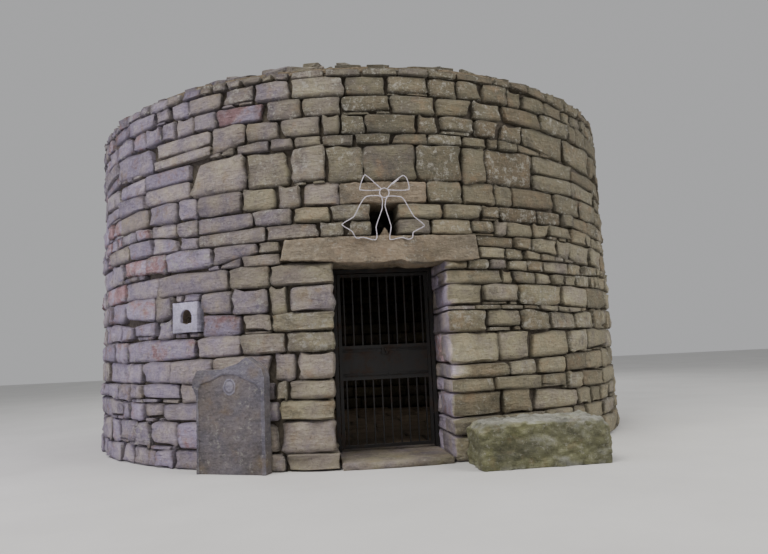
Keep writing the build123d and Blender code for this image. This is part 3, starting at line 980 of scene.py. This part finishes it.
# inner face and vault, in thinner rows that step inwards
innerLook = {
    "fewest": 8,  # stones in a ring
    "long": (0.34, 0.46),
    "shift": 0.2,  # how far a joint may be off, as a share of a stone's length
    "proud": (-0.015, 0.01),
    "endGap": 0.006,
    "bedGap": 0.005,
    "depth": 0.26,
    "rows": 10,  # below the spring of the vault
    "door": (-0.86, 0.86),  # left free for the stones beside the doorway
    "reach": 0.4,  # share of a step that the upper of its two rows reaches inwards
    "clear": 0.05,
}
courses = hut["wallCourses"] + hut["crownCourses"]
courseHigh = (hut["wallTop"] - hut["spring"]) / hut["wallCourses"]
crownHigh = (hut["crownTop"] - hut["wallTop"]) / hut["crownCourses"]
clear = innerLook["clear"]


def innerAt(course):
    share = (course / (courses - 1)) ** hut["corbelPower"]
    return hut["inner"] - (hut["inner"] - hut["hole"]) * share


def layInner(heap, low, high, radius, skip):
    count = max(innerLook["fewest"], int(2 * math.pi * radius / dice.uniform(*innerLook["long"])))
    turn = dice.uniform(0, 1)
    shift = innerLook["shift"]
    marks = [(n + turn + dice.uniform(-shift, shift)) / count * 2 * math.pi for n in range(count)]
    for start, stop in zip(marks, marks[1:] + [marks[0] + 2 * math.pi]):
        middle = (start + stop) / 2
        if skip and math.cos(middle) > 0 and skip[0] < radius * math.sin(middle) < skip[1]:
            continue
        face = radius + dice.uniform(*innerLook["proud"])
        gap = innerLook["endGap"] / radius
        corners = []
        for angle in (start + gap, stop - gap):
            for z in (low + innerLook["bedGap"], high - innerLook["bedGap"]):
                for reach in (face + innerLook["depth"], face):
                    corners.append((reach * math.sin(angle), -reach * math.cos(angle), z))
        heap.lay(corners, toneAt(0), False)


def openingAt(low):  # what a row of the vault leaves free, from left to right
    if low < hut["lintelTop"] - clear:
        return hut["lintelLeft"], hut["lintelRight"]
    if hut["lintelTop"] - clear < low < hut["ventTop"] - clear:
        return hut["ventLeft"] - clear, hut["ventRight"] + clear
    return ()


innerHeap = Heap()
vaultHeap = Heap()
rows = innerLook["rows"]
for row in range(rows):
    low = hut["floor"] + (hut["spring"] - hut["floor"]) * row / rows
    high = hut["floor"] + (hut["spring"] - hut["floor"]) * (row + 1) / rows
    layInner(innerHeap, low, high, hut["inner"], innerLook["door"])
for course in range(courses):
    inCrown = course - hut["wallCourses"]
    bottom = hut["spring"] + course * courseHigh if inCrown < 0 else hut["wallTop"] + inCrown * crownHigh
    high = courseHigh if inCrown < 0 else crownHigh
    for part in (0, 1):
        radius = innerAt(course)
        if course < courses - 1:
            radius = radius - (radius - innerAt(course + 1)) * innerLook["reach"] * part
        low = bottom + part * high / 2
        layInner(innerHeap if inCrown < 0 else vaultHeap, low, low + high / 2, radius, openingAt(low))
crownNames = [n for n in nodes if n.startswith("vault_crown")]
innerHeap.join("innerStones", "vault", "root", "wall_stone", wallNames)
vaultHeap.join("crownStones", "vault", "root", "vault_stone", crownNames)
print("inner face and vault laid")


# rubble core between the two faces, seen only as the dark of the joints, coloured near black as painted shade
sameSpot = 1e-5  # points nearer than this are one


def spunRing(name, outline, steps=96):
    mesh = bpy.data.meshes.new(name)
    points = [(radius, 0, height) for radius, height in outline]
    mesh.from_pydata(points, [(n, (n + 1) % len(points)) for n in range(len(points))], [])
    ring = newObject(name, mesh)
    editAll(ring)
    bpy.ops.mesh.spin(steps=steps, angle=2 * math.pi, center=(0, 0, 0), axis=(0, 0, 1))
    bpy.ops.mesh.select_all(action="SELECT")
    bpy.ops.mesh.remove_doubles(threshold=sameSpot)
    bpy.ops.mesh.normals_make_consistent(inside=False)
    leaveEdit()
    return ring


coreLook = {
    "skin": 0.075,  # how far it lies behind the faces of the stones
    "foot": 0.002,
    "under": 0.02,  # how far it stays below the wall's top and each course
    "clear": 0.10,  # room left round the doorway and the vent
}
outerCore = faceRadius(hut["wallTop"]) - coreLook["skin"]
coreOutline = [(hut["outer"] - coreLook["skin"], coreLook["foot"])]
coreOutline += [(outerCore, hut["wallTop"] - coreLook["under"])]
for course in range(hut["wallCourses"] - 1, -1, -1):
    bottom = hut["spring"] + course * courseHigh
    radius = innerAt(course) + coreLook["skin"]
    coreOutline += [(radius, bottom + courseHigh - coreLook["under"]), (radius, bottom)]
coreOutline += [(hut["inner"] + coreLook["skin"], coreLook["foot"])]
core = spunRing("rubbleCore", coreOutline)
clear = coreLook["clear"]
beyond = -hut["outer"] - 0.66  # in front of the wall
doorClear = hut["doorHalf"] + clear
cutAway(core, newBox((-doorClear, beyond, -clear), (doorClear, 0, hut["spring"] + clear + coreLook["under"])))
cutAway(core, newBox((hut["ventLeft"] - clear, beyond, hut["lintelTop"] - clear),
                     (hut["ventRight"] + clear, 0, hut["ventTop"] + clear)))
dress(core, "joint", "root", wallNames)
print("core made")


# stones that keep the shape of their CAD solid, worn by weather
wearLook = {
    "smooth": 0.5,
    "middle": 0.62,  # above a half, more is worn off than added
    "fineSize": 4,  # how many times finer the second pattern is
    "fineWear": 0.4,
    "foot": 0.7,
    "turn": 60,  # degrees from which an edge stays crisp
}


def weathered(node, look):
    piece = nodes[node].copy()
    piece.data = nodes[node].data.copy()
    piece.name = look["name"]
    piece.parent = None
    for key in list(piece.keys()):
        del piece[key]
    bpy.context.scene.collection.objects.link(piece)
    editAll(piece)
    bpy.ops.mesh.remove_doubles(threshold=sameSpot)
    leaveEdit()
    applyModifier(piece, "REMESH", mode="VOXEL", voxel_size=look["voxel"])
    applyModifier(piece, "SMOOTH", factor=wearLook["smooth"], iterations=2)
    if "underside" in look:
        bendUnderside(piece, look["underside"])
    roughen(piece, look["size"], look["wear"], 2, wearLook["middle"])
    roughen(piece, look["size"] / wearLook["fineSize"], look["wear"] * wearLook["fineWear"], 1)
    flattenFoot(piece, look["wear"])
    ring = carveOval(piece, look["oval"]) if "oval" in look else None
    roundOff(piece, wearLook["turn"])
    paintStone(piece, node, look, ring)
    return dress(piece, look["finish"], "root", (node,))


def flattenFoot(piece, wear):  # a stone that stands on the ground touches it all over
    points = pointsOf(piece)
    points[points[:, 2] < wearLook["foot"] * wear, 2] = 0
    movePoints(piece, points)


def bendUnderside(piece, underside):  # follows the wavy lower edge of the photograph
    points = pointsOf(piece)
    low, high = points[:, 2].min(), points[:, 2].max()
    share = np.clip(1.6 - 2.2 * (points[:, 2] - low) / (high - low), 0, 1)
    marks, shifts = zip(*underside)
    points[:, 2] += share * np.interp(points[:, 0], marks, shifts)
    movePoints(piece, points)


def carveOval(piece, oval):  # a groove round the middle of the raised oval
    points = pointsOf(piece)
    angle = math.radians(oval["angle"])
    out = np.array((math.sin(angle), -math.cos(angle), 0))
    across = points @ np.array((math.cos(angle), math.sin(angle), 0))
    reach = np.hypot(across / oval["halfWidth"], (points[:, 2] - oval["height"]) / oval["halfHeight"])
    ring = np.clip(1 - np.abs(reach - oval["ring"]) / oval["ringWide"], 0, 1) * (points @ out > 0)
    points -= ring[:, None] * out * oval["groove"]
    movePoints(piece, points)
    return ring


def paintStone(piece, node, look, ring):
    # tone of each point: by how far its CAD face lies behind the front, and, as painted light, by how much it
    # faces up
    points = pointsOf(piece)
    tones = np.tile((1.0, 0.5, 0.5, 1.0), (len(points), 1))
    rise = np.clip(pointsOf(piece, "normal")[:, 2], 0, 1)
    # painted light: faces that look up are brighter and greyer, as in sunlight
    tones[:, 0] += look.get("topLight", 0) * rise
    tones[:, 1] -= look.get("topLightHue", 0) * rise
    if "shades" in look:
        mesh = nodes[node].data
        tree = BVHTree.FromPolygons([v.co for v in mesh.vertices], [face.vertices for face in mesh.polygons])
        front = max(mesh.polygons, key=lambda face: face.area if face.normal.dot(face.center) > 0 else 0)
        out = front.normal.copy()
        middle = sum(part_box(node), Vector()) / 2
        reach = max(vertex.co.dot(out) for vertex in mesh.vertices)
        for number, point in enumerate(points):
            place = tree.find_nearest(Vector(point))[0]
            depth = reach - place.dot(out)
            flat = place - middle
            flat -= out * flat.dot(out)
            for low, high, radius, tone in look["shades"]:
                if low <= depth < high and flat.length < radius:
                    tones[number, :3] = tone
    # painted shade in the groove round the oval
    if ring is not None:
        tones[:, 0] *= 1 - look["oval"]["dark"] * ring
    paintTones(piece, tones)


# lower edge of the front lintel: distance from the middle of the door, and how far up it is shifted
lintelUnderside = (
    (-0.94, 0.028), (-0.72, 0.012), (-0.49, -0.018), (-0.25, 0.004), (-0.05, 0.018), (0.10, 0.034),
    (0.17, 0.0), (0.39, -0.026), (0.67, -0.028), (0.94, 0.0),
)
# depth behind the front from and to, distance from the middle, and brightness, hue and age there
markerShades = (
    (0.0, 0.002, 9, (1.0, 0.30, 0.7)), (0.002, 0.008, 9, (1.30, 0.05, 0.2)), (0.008, 9, 9, (0.96, 0.62, 0.3)),
)
nicheShades = ((0.012, 9, 0.105, (0.95, 1.5, 0.0)),)
markerOval = {
    "angle": -25.5,  # place round the hut, in degrees
    "height": 0.768,
    "halfWidth": 0.0625,
    "halfHeight": 0.075,
    "ring": 0.74,  # middle of the groove, as a share of the oval, and how far it fades on each side
    "ringWide": 0.16,
    "groove": 0.006,  # its depth
    # painted shade in the groove
    "dark": 0.45,
}
stoneWear = {
    "front_lintel": {"name": "frontLintel", "finish": "lintel", "slot": "lintel_stone", "voxel": 0.014,
                     "wear": 0.026, "size": 0.22, "underside": lintelUnderside},
    "middle_lintel": {"name": "middleLintel", "finish": "lintel", "slot": "lintel_stone", "voxel": 0.024,
                      "wear": 0.030, "size": 0.25},
    "back_lintel": {"name": "backLintel", "finish": "lintel", "slot": "lintel_stone", "voxel": 0.024,
                    "wear": 0.030, "size": 0.25},
    "vent_head_stone": {"name": "ventHeadStone", "finish": "head", "slot": "lintel_stone", "voxel": 0.014,
                        "wear": 0.030, "size": 0.18},
    "vent_stone": {"name": "ventStone", "finish": "head", "slot": "wall_stone", "voxel": 0.006,
                   "wear": 0.010, "size": 0.05},
    "niche_stone": {"name": "nicheStone", "finish": "pale", "slot": "dressed_stone", "voxel": 0.0045,
                    "wear": 0.007, "size": 0.07, "shades": nicheShades},
    "marker_stone": {"name": "markerStone", "finish": "marker", "slot": "dressed_stone", "voxel": 0.006,
                     "wear": 0.011, "size": 0.14, "shades": markerShades, "oval": markerOval},
    "bench_stone": {"name": "benchStone", "finish": "bench", "slot": "bench_stone", "voxel": 0.014,
                    "wear": 0.065, "size": 0.20, "topLight": 0.70, "topLightHue": 0.55},
    "threshold_stone": {"name": "thresholdStone", "finish": "slab", "slot": "floor_stone", "voxel": 0.020,
                        "wear": 0.014, "size": 0.22},
    "capstone": {"name": "vaultCapstone", "finish": "slab", "slot": "vault_stone", "voxel": 0.030,
                 "wear": 0.030, "size": 0.25},
}
for node, look in stoneWear.items():
    weathered(node, look)
print("weathered stones made")

# flagstones
flagLook = {
    "deep": (0.36, 0.55),
    "wide": (0.4, 0.75),
    "shift": 0.3,  # how far a row may start further out
    "gap": 0.008,  # half of a joint
    "underside": 0.003,
    "sunk": 0.006,  # how far the flags lie below the floor's top, at most
    "bedding": (0.005, 0.035),
}
flags = Heap()
limit = hut["inner"] - 0.01
place = -hut["inner"]
while place < hut["inner"]:
    deep = dice.uniform(*flagLook["deep"])
    across = -hut["inner"] - dice.uniform(0, flagLook["shift"])
    while across < hut["inner"]:
        wide = dice.uniform(*flagLook["wide"])
        corners = []
        inside = 0
        for x in (across + flagLook["gap"], across + wide - flagLook["gap"]):
            for y in (place + flagLook["gap"], place + deep - flagLook["gap"]):
                reach = math.hypot(x, y)
                inside += reach < limit
                pull = min(1, limit / reach)
                for z in (flagLook["underside"], hut["floor"] - dice.uniform(0, flagLook["sunk"])):
                    corners.append((x * pull, y * pull, z))
        if inside > 1:
            flags.lay(corners, toneAt(1.0), False)
        across += wide
    place += deep
flags.join("floorFlags", "floor", "root", "floor_stone", ("floor",))
# bedding under the flags, near black as painted shade in their joints
beddingLow, beddingHigh = flagLook["bedding"]
bedding = newShape(bpy.ops.mesh.primitive_cylinder_add, vertices=64, radius=hut["inner"] - 0.02,
                   depth=beddingHigh - beddingLow, location=(0, 0, (beddingLow + beddingHigh) / 2))
bedding.name = "floorBedding"
dress(bedding, "joint", "root", ("floor",))

# roof: earth mound with rubble
coverNames = [n for n in nodes if n.startswith("roof_cover")]
roof = {
    "edge": max(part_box(n)[1].x for n in coverNames),
    "top": max(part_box(n)[1].z for n in coverNames),
    "sunk": 0.05,  # how far the mound stays below the solid's top
    "shoulder": 0.45,
    "rim": 0.06,
    "rings": 26,
    "lumps": ((0.5, 0.05, 2, 0.6), (0.12, 0.03)),
    "stones": 900,
    "rimStones": 230,
    "inwards": (0.93, 1.4),  # how far in the stones lie, as a share of the radius, and how few lie there
    "onRim": (-0.02, 0.14),
    "wide": (0.05, 0.24, 2.2),  # the smallest, what the largest has more, and how few are large
    "deepShare": (0.5, 0.95),
    "highShare": (0.3, 0.6),
    "cornerShare": (0.8, 1.1),
    "tilt": 0.3,
    "flat": (0.05, 0.2),  # height and share of the tilt of those along the edge
}
roofFoot = hut["wallTop"] + roof["rim"]
roofHigh = roof["top"] - roof["sunk"] - hut["wallTop"] - roof["rim"]
mound = newShape(bpy.ops.mesh.primitive_cone_add, vertices=120, radius1=roof["edge"],
                 radius2=roof["shoulder"], depth=roofHigh, location=(0, 0, roofFoot + roofHigh / 2))
mound.name = "roofEarthMound"
editAll(mound)
for ring in range(1, roof["rings"]):
    bpy.ops.mesh.select_all(action="SELECT")
    level = roofFoot + roofHigh * ring / roof["rings"]
    bpy.ops.mesh.bisect(plane_co=(0, 0, level), plane_no=(0, 0, 1))
leaveEdit()
choose(mound, "FACE", lambda face: face.normal.z > 0.99)
bpy.ops.mesh.inset(thickness=0.15)
bpy.ops.mesh.inset(thickness=0.15)
bpy.ops.transform.translate(value=(0, 0, 0.03))
leaveEdit()
choose(mound, "FACE", lambda face: face.normal.z < -0.99)
bpy.ops.mesh.extrude_region_move(TRANSFORM_OT_translate={"value": (0, 0, -roof["rim"] + 0.002)})
leaveEdit()
for lump in roof["lumps"]:
    roughen(mound, *lump)
roundOff(mound, 60)
dress(mound, "earth", "root", coverNames)


def layRubble(heap, onRim):
    share = dice.random()
    inwards, fewer = roof["inwards"]
    radius = roof["edge"] * (1 - inwards * share ** fewer)
    if onRim:
        radius = roof["edge"] - dice.uniform(*roof["onRim"])
    angle = dice.uniform(0, 2 * math.pi)
    fall = roofHigh / (roof["edge"] - roof["shoulder"])
    rise = (roof["edge"] - radius) / (roof["edge"] - roof["shoulder"])
    z = roofFoot + roofHigh * min(1, rise)
    if radius > roof["edge"] - 0.05:
        z = hut["wallTop"] + 0.03
    smallest, more, fewer = roof["wide"]
    wide = smallest + more * dice.random() ** fewer
    deep = wide * dice.uniform(*roof["deepShare"])
    high = wide * dice.uniform(*roof["highShare"])
    tilt = dice.uniform(-roof["tilt"], roof["tilt"])
    if onRim:
        high = min(high, roof["flat"][0])
        tilt *= roof["flat"][1]
    spin = dice.uniform(0, math.pi)
    corners = []
    for u in (-0.5, 0.5):
        for v in (-0.5, 0.5):
            for w in (-0.7, 0.3):  # most of it is sunk in the earth
                x = u * wide * dice.uniform(*roof["cornerShare"])
                y = v * deep * dice.uniform(*roof["cornerShare"])
                outward = x * math.cos(spin) - y * math.sin(spin)
                sideways = x * math.sin(spin) + y * math.cos(spin)
                reach = min(radius + outward, hut["outer"] - 0.04)
                corners.append((reach * math.sin(angle) + sideways * math.cos(angle),
                                -reach * math.cos(angle) + sideways * math.sin(angle),
                                z - outward * fall + w * high + u * wide * tilt))
    heap.lay(corners, toneAt(angle * hut["outer"], 3.6), False)


rubble = Heap()
for count in range(roof["stones"]):
    layRubble(rubble, count < roof["rimStones"])
rubble.join("roofRubble", "wall", "root", "rubble_cover", coverNames, 38)
print("roof made")

# wire ornament: the loops of the CAD band as round wire, measured from the middle of the ring
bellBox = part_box("wire_bells")
wireLook = {
    "thick": 0.0038,
    "bend": 0.008,
    "ring": 0.045,
    "ringSides": 16,
    "sleeve": 0.0075,
    "sleeveEnds": ((0.072, 0.080), (0.135, 0.128)),
    "nail": 0.003,
}
ringPlace = (-0.035, bellBox[0].y + 0.005, hut["lintelTop"] + 0.390)
bellLoops = {
    "leftBell": (
        (-0.025, -0.035), (-0.12, -0.025), (-0.175, -0.035), (-0.225, -0.10), (-0.29, -0.22), (-0.405, -0.29),
        (-0.31, -0.355), (-0.275, -0.42), (-0.215, -0.41), (-0.10, -0.44), (-0.085, -0.415), (-0.09, -0.315),
        (-0.025, -0.145),
    ),
    "rightBell": (
        (0.025, -0.035), (0.0, -0.125), (0.05, -0.315), (0.03, -0.44), (0.145, -0.42), (0.205, -0.44),
        (0.245, -0.425), (0.25, -0.375), (0.365, -0.315), (0.265, -0.225), (0.215, -0.13), (0.165, -0.045),
        (0.125, -0.035),
    ),
    "leftBow": ((-0.025, 0.035), (-0.055, 0.065), (-0.175, 0.175), (-0.23, 0.03), (-0.05, 0.025)),
    "rightBow": ((0.025, 0.035), (0.18, 0.165), (0.215, 0.14), (0.235, 0.025), (0.045, 0.025)),
    "bowRing": [
        (wireLook["ring"] * math.cos(turn * math.pi / 8), wireLook["ring"] * math.sin(turn * math.pi / 8))
        for turn in range(wireLook["ringSides"])
    ],
}


def bentLoop(loop):  # each corner becomes a short bend
    corners = [Vector(point) for point in loop]
    bends = []
    for number, corner in enumerate(corners):
        for other in (corners[number - 1], corners[(number + 1) % len(corners)]):
            reach = min(wireLook["bend"], 0.4 * (other - corner).length)
            bends.append(corner + (other - corner).normalized() * reach)
    return bends


def onWire(x, z):
    return Vector((ringPlace[0] + x, ringPlace[1], ringPlace[2] + z))


wires = []
for name, loop in bellLoops.items():
    curve = bpy.data.curves.new(name, "CURVE")
    curve.dimensions = "3D"
    curve.bevel_depth = wireLook["thick"]
    curve.bevel_resolution = 2
    spline = curve.splines.new("BEZIER")
    bends = bentLoop(loop)
    spline.bezier_points.add(len(bends) - 1)
    for point, bend in zip(spline.bezier_points, bends):
        point.co = onWire(*bend)
        point.handle_left_type = point.handle_right_type = "AUTO"
    spline.use_cyclic_u = True
    spline.resolution_u = 3
    pick(newObject(name, curve))
    bpy.ops.object.convert(target="MESH")
    wires.append(bpy.context.object)
# white sleeve on the right half of the bow
start, stop = (onWire(*end) for end in wireLook["sleeveEnds"])
sleeve = newShape(bpy.ops.mesh.primitive_cylinder_add, vertices=12, radius=wireLook["sleeve"],
                  depth=(stop - start).length, location=(start + stop) / 2,
                  rotation=(stop - start).to_track_quat("Z", "Y").to_euler())
applyModifier(sleeve, "BEVEL", width=0.002, segments=2, limit_method="ANGLE")
nailFrom, nailTo = (corner.y for corner in bellBox)
nailPlace = (ringPlace[0], (nailFrom + nailTo) / 2, ringPlace[2] + wireLook["ring"])
nail = newRod(nailPlace, wireLook["nail"], nailTo - nailFrom, 12)
bells = joinAll("wireBells", [*wires, sleeve, nail], 60)
dress(bells, "wire", "root", ("wire_bells",))
print("wire ornament made")

# gate keeps its CAD shapes, and gets the small ironwork that they leave out
for name in ("gate_posts", "gate_head_bar", "gate_hinge_pins", "gate_leaf_frame", "gate_bars_lower",
             "gate_bars_upper", "gate_panel", "gate_hinge_barrels"):
    nodes[name].data.materials.clear()
    nodes[name].data.materials.append(finishes["rustyIron" if name == "gate_panel" else "iron"])
gateLook = {
    "strip": 0.022,  # flat strips along the sheet, above and below
    "stripThick": 0.005,
    "stripGap": 0.012,  # between a strip and the rail beside it
    "stripEdge": 0.0012,
    "sunk": 0.001,  # how far a strip or a screw reaches into what it sits on
    "rivet": 0.007,
    "rivetFrom": 0.03,  # distance of the first and the last rivet from the ends
    "rivetTo": 0.02,
    "rivetPitch": 0.105,
    "flat": 0.6,  # thickness of a rivet's head as a share of its width
    "turn": 40,  # degrees from which an edge stays crisp
}
lockLook = {
    "edge": 0.003,
    "inset": 0.006,
    "raised": 0.002,
    "keyAt": 0.35,  # heights of the keyhole and the knob, as shares of the case
    "knobAt": 0.74,
    "keyhole": 0.006,
    "keySlot": 0.004,
    "slotDrop": 0.009,  # how far the slot lies below the keyhole
    "keyDeep": 0.02,
    "screw": 0.0035,
    "screwIn": 0.009,  # from the edges
    "stem": 0.006,
    "stemLong": 0.034,
    "stemAt": 0.015,
    "knob": 0.013,
    "knobFlat": 0.7,
}
panelLow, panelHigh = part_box("gate_panel")
lockLow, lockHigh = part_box("gate_lock")


def ironBlock(low, high, wear):  # a bar with softened edges
    block = newBox(low, high)
    applyModifier(block, "BEVEL", width=wear, segments=2)
    return block


def ironBall(place, radius, flat, segments, rings):
    return newShape(bpy.ops.mesh.primitive_uv_sphere_add, (1, flat, 1), segments=segments, ring_count=rings,
                    radius=radius, location=place)


def rivetHead(x, z, face, radius):
    return ironBall((x, face, z), radius, gateLook["flat"], 10, 6)


stripFront = panelLow.y - gateLook["stripThick"]
stripBack = panelLow.y + gateLook["sunk"]
strips = []
for low in (panelLow.z + gateLook["stripGap"], panelHigh.z - gateLook["stripGap"] - gateLook["strip"]):
    high = low + gateLook["strip"]
    ends = (panelLow.x, stripFront, low), (panelHigh.x, stripBack, high)
    strips.append(ironBlock(*ends, gateLook["stripEdge"]))
    x = panelLow.x + gateLook["rivetFrom"]
    while x < panelHigh.x - gateLook["rivetTo"]:
        strips.append(rivetHead(x, (low + high) / 2, stripFront, gateLook["rivet"]))
        x += gateLook["rivetPitch"]
dress(joinAll("gatePanelStrips", strips, gateLook["turn"]), "iron", "gate")

lockCase = ironBlock(lockLow, lockHigh, lockLook["edge"])
choose(lockCase, "FACE", lambda face: face.normal.y < -0.99)
bpy.ops.mesh.inset(thickness=lockLook["inset"])
bpy.ops.transform.translate(value=(0, -lockLook["raised"], 0))
leaveEdit()
lockX = (lockLow.x + lockHigh.x) / 2
keyHeight = lockLow.z + lockLook["keyAt"] * (lockHigh.z - lockLow.z)
for radius, z in ((lockLook["keyhole"], keyHeight), (lockLook["keySlot"], keyHeight - lockLook["slotDrop"])):
    cutAway(lockCase, newRod((lockX, lockLow.y, z), radius, lockLook["keyDeep"], 16))
lockParts = [lockCase]
for x in (lockLow.x + lockLook["screwIn"], lockHigh.x - lockLook["screwIn"]):
    for z in (lockLow.z + lockLook["screwIn"], lockHigh.z - lockLook["screwIn"]):
        lockParts.append(rivetHead(x, z, lockLow.y - gateLook["sunk"], lockLook["screw"]))
knobHeight = lockLow.z + lockLook["knobAt"] * (lockHigh.z - lockLow.z)
stemPlace = (lockX, lockLow.y - lockLook["stemAt"], knobHeight)
lockParts.append(newRod(stemPlace, lockLook["stem"], lockLook["stemLong"], 20))
knobPlace = (lockX, lockLow.y - lockLook["stemLong"], knobHeight)
lockParts.append(ironBall(knobPlace, lockLook["knob"], lockLook["knobFlat"], 20, 12))
dress(joinAll("gateLock", lockParts, gateLook["turn"]), "rustyIron", "gate", ("gate_lock",))
print("gate dressed")

# ground, light and camera
ground = newShape(bpy.ops.mesh.primitive_plane_add, size=60, location=(0, 0, -0.002))
ground.name = "studioFloor"
ground.data.materials.append(finishes["ground"])

lightPlan = {  # place, size, power and colour
    "key": ((-4.5, -8.0, 10.5), 6.0, 1150, (1.0, 0.97, 0.92)),
    "fill": ((7.5, -7.5, 6.5), 6.0, 660, (1.0, 0.98, 0.97)),
    "back": ((2.0, 9.0, 8.0), 8.0, 500, (1.0, 1.0, 1.0)),
    "side": ((-9.5, -4.5, 3.0), 5.0, 300, (0.78, 0.74, 1.0)),
    "inside": ((0.3, 0.6, 2.6), 1.2, 9, (1.0, 0.95, 0.9)),
}
aim = Vector((0, 0, 1.6))
sky = ((0.91, 0.915, 0.93, 1), 0.48)  # colour and strength
for name, (spot, size, power, colour) in lightPlan.items():
    lamp = bpy.data.lights.new(name, "AREA")
    lamp.size = size
    lamp.energy = power
    lamp.color = colour
    holder = newObject(name, lamp)
    holder.location = spot
    holder.rotation_euler = (aim - Vector(spot)).to_track_quat("-Z", "Y").to_euler()
world = bpy.data.worlds.new("studio")
world.use_nodes = True
for number, value in enumerate(sky):
    world.node_tree.nodes["Background"].inputs[number].default_value = value
bpy.context.scene.world = world

photoView = {
    "eye": (-0.84, -9.17, 1.04),
    "yaw": 7.5,
    "pitch": 6.35,
    "roll": -2.55,
    "focal": 652,  # pixels, in a frame that is this many pixels wide
    "frame": 768,
}
yaw, pitch, roll = (math.radians(photoView[key]) for key in ("yaw", "pitch", "roll"))
ahead = Vector((math.sin(yaw) * math.cos(pitch), math.cos(yaw) * math.cos(pitch), math.sin(pitch)))
level = Vector((math.cos(yaw), -math.sin(yaw), 0))
above = level.cross(ahead)
right = math.cos(roll) * level + math.sin(roll) * above
top = math.cos(roll) * above - math.sin(roll) * level
camera = newObject("photoCamera", bpy.data.cameras.new("photoCamera"))
camera.matrix_world = Matrix((
    (right.x, top.x, -ahead.x, photoView["eye"][0]),
    (right.y, top.y, -ahead.y, photoView["eye"][1]),
    (right.z, top.z, -ahead.z, photoView["eye"][2]),
    (0, 0, 0, 1),
))
camera.data.sensor_width = 36
camera.data.lens = photoView["focal"] / photoView["frame"] * camera.data.sensor_width
bpy.context.scene.camera = camera
print("stage, lights and camera set")
